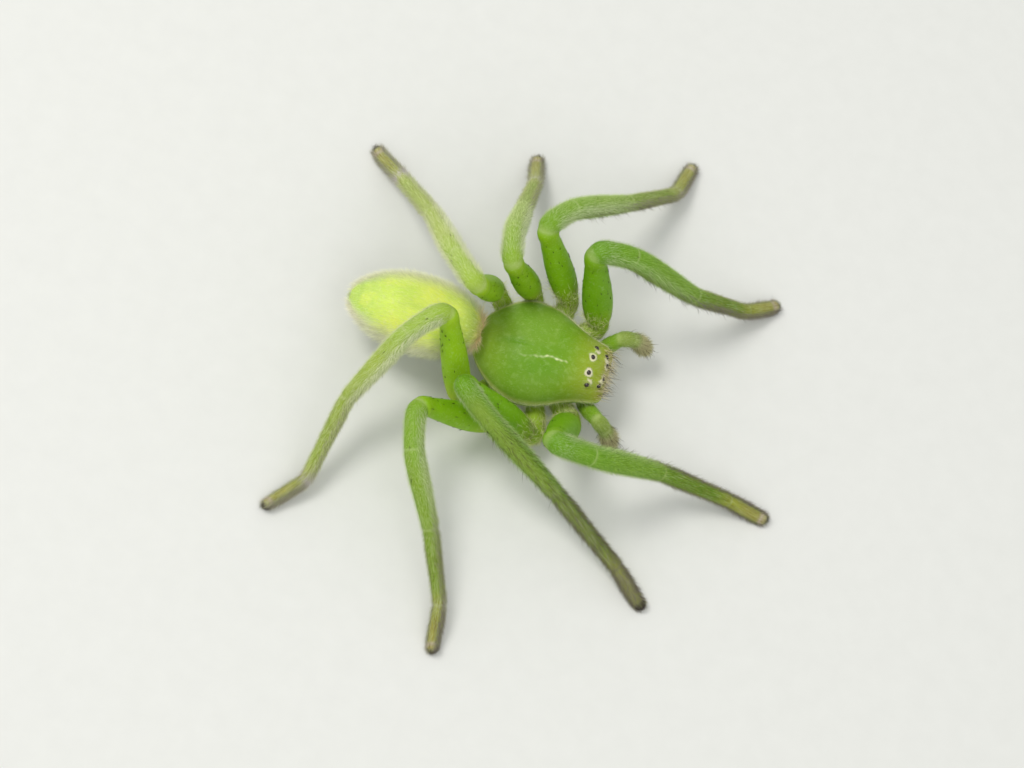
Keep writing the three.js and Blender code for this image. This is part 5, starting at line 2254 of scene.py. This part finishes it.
@dataclass
class Stage:
    """Ground, light and camera.

    Attributes:
        axes: How the body lies, for the camera's place.
        eye: The camera's place before the body's shift.
        right: The camera's right side.
        up: The camera's upper side.
        back: From the object to the camera.
        lens: Focal length on a 36 millimetre sensor.
        floor: Half the floor's side in metres.
    """

    axes: BodyAxes
    eye: Point = (-17.34, -58.85, 136.89)
    right: Point = (0.94742, 0.23736, 0.21461)
    up: Point = (-0.30038, 0.89090, 0.34070)
    back: Point = (-0.11032, -0.38725, 0.91535)
    lens: float = 98.6
    floor: float = 1.2

    SKY = (0.98, 1.0, 0.98)
    SKY_STRENGTH = 0.62

    def camera(self) -> None:
        """The camera at the photograph's angle."""
        data = bpy.data.cameras.new("camera")
        data.lens, data.sensor_width = self.lens, 36.0
        data.clip_start, data.clip_end = 10 * MM, 10.0
        camera = add_object("camera", data)
        turn = Matrix((self.right, self.up, self.back)).transposed().to_4x4()
        place = (np.array(self.eye) + self.axes.shift) * MM
        camera.matrix_world = Matrix.Translation(Vector(place)) @ turn
        bpy.context.scene.camera = camera

    def ground(self) -> None:
        """A wide plain floor."""
        mesh, half = bpy.data.meshes.new("floor"), self.floor
        corners = [(-half, -half, 0), (half, -half, 0), (half, half, 0), (-half, half, 0)]
        mesh.from_pydata(corners, [], [(0, 1, 2, 3)])
        floor = add_object("floor", mesh)
        floor.data.materials.append(FloorFinish().material())

    def lamp(self, name: str, way: Point, size: float, power: float, color: Color) -> None:
        """A soft square lamp that faces the spider.

        Args:
            name: Its name.
            way: Degrees round the spider from +X, degrees above the ground, and distance in metres.
            size: Its side in metres.
            power: Its power in watts.
            color: Its colour.
        """
        turn, pitch, far = way
        data = bpy.data.lights.new(name, "AREA")
        data.size, data.energy, data.color = size, power, color
        lamp = add_object(name, data)
        out = Vector(heading(turn, pitch, 1))
        lamp.location = out * far
        lamp.rotation_mode = "QUATERNION"
        lamp.rotation_quaternion = out.to_track_quat("Z", "Y")

    def light(self) -> None:
        """A soft key from behind the spider, a broad fill and a pale sky."""
        self.lamp("key", (170, 58, 0.30), 0.10, 0.37, (1.0, 0.99, 0.94))
        self.lamp("fill", (-70, 52, 0.40), 0.35, 0.34, (1.0, 1.0, 0.97))
        world = bpy.data.worlds.new("sky")
        world.use_nodes = True
        sky = world.node_tree.nodes["Background"]
        fix(sky, {"Color": (*self.SKY, 1), "Strength": self.SKY_STRENGTH})
        bpy.context.scene.world = world
        bpy.context.scene.view_settings.view_transform = "Standard"

    def dress(self) -> None:
        """Sets the whole stage."""
        self.camera()
        self.ground()
        self.light()


COATS = CoatTree()
PALPS = {
    Side.LEFT: (
        (2.6, 1.02, -0.62), (3.05, 1.6, -0.4), (3.82, 2.25, 0.8), (4.72, 2.5, 0.25), (5.5, 2.6, -1.25)),
    Side.RIGHT: (
        (2.6, -1.02, -0.62), (3.02, -1.62, -0.4), (3.75, -2.47, 0.8), (4.5, -2.78, 0.15),
        (5.0, -3.0, -1.25)),
}


def main() -> None:
    """Builds the spider's pieces in order."""
    logging.basicConfig(level=logging.INFO, format="%(message)s")
    axes = BodyAxes()
    carapace = Carapace(axes)
    axes.anchor("eye_pme_l", carapace.eye_axis(EYES[0], 1)[0])
    log.info("body shift %s", axes.shift.round(4))
    Stage(axes).dress()
    carapace.dress()
    abdomen = Abdomen(axes)
    abdomen.dress()
    Underside(axes, abdomen).dress()
    for side in Side:
        Jaw(axes, side).dress()
        Palp(axes, side, PALPS[side]).dress()
        for number in LEG_PAIRS:
            Leg(axes, side, number).dress()


if __name__ == "__main__":
    main()
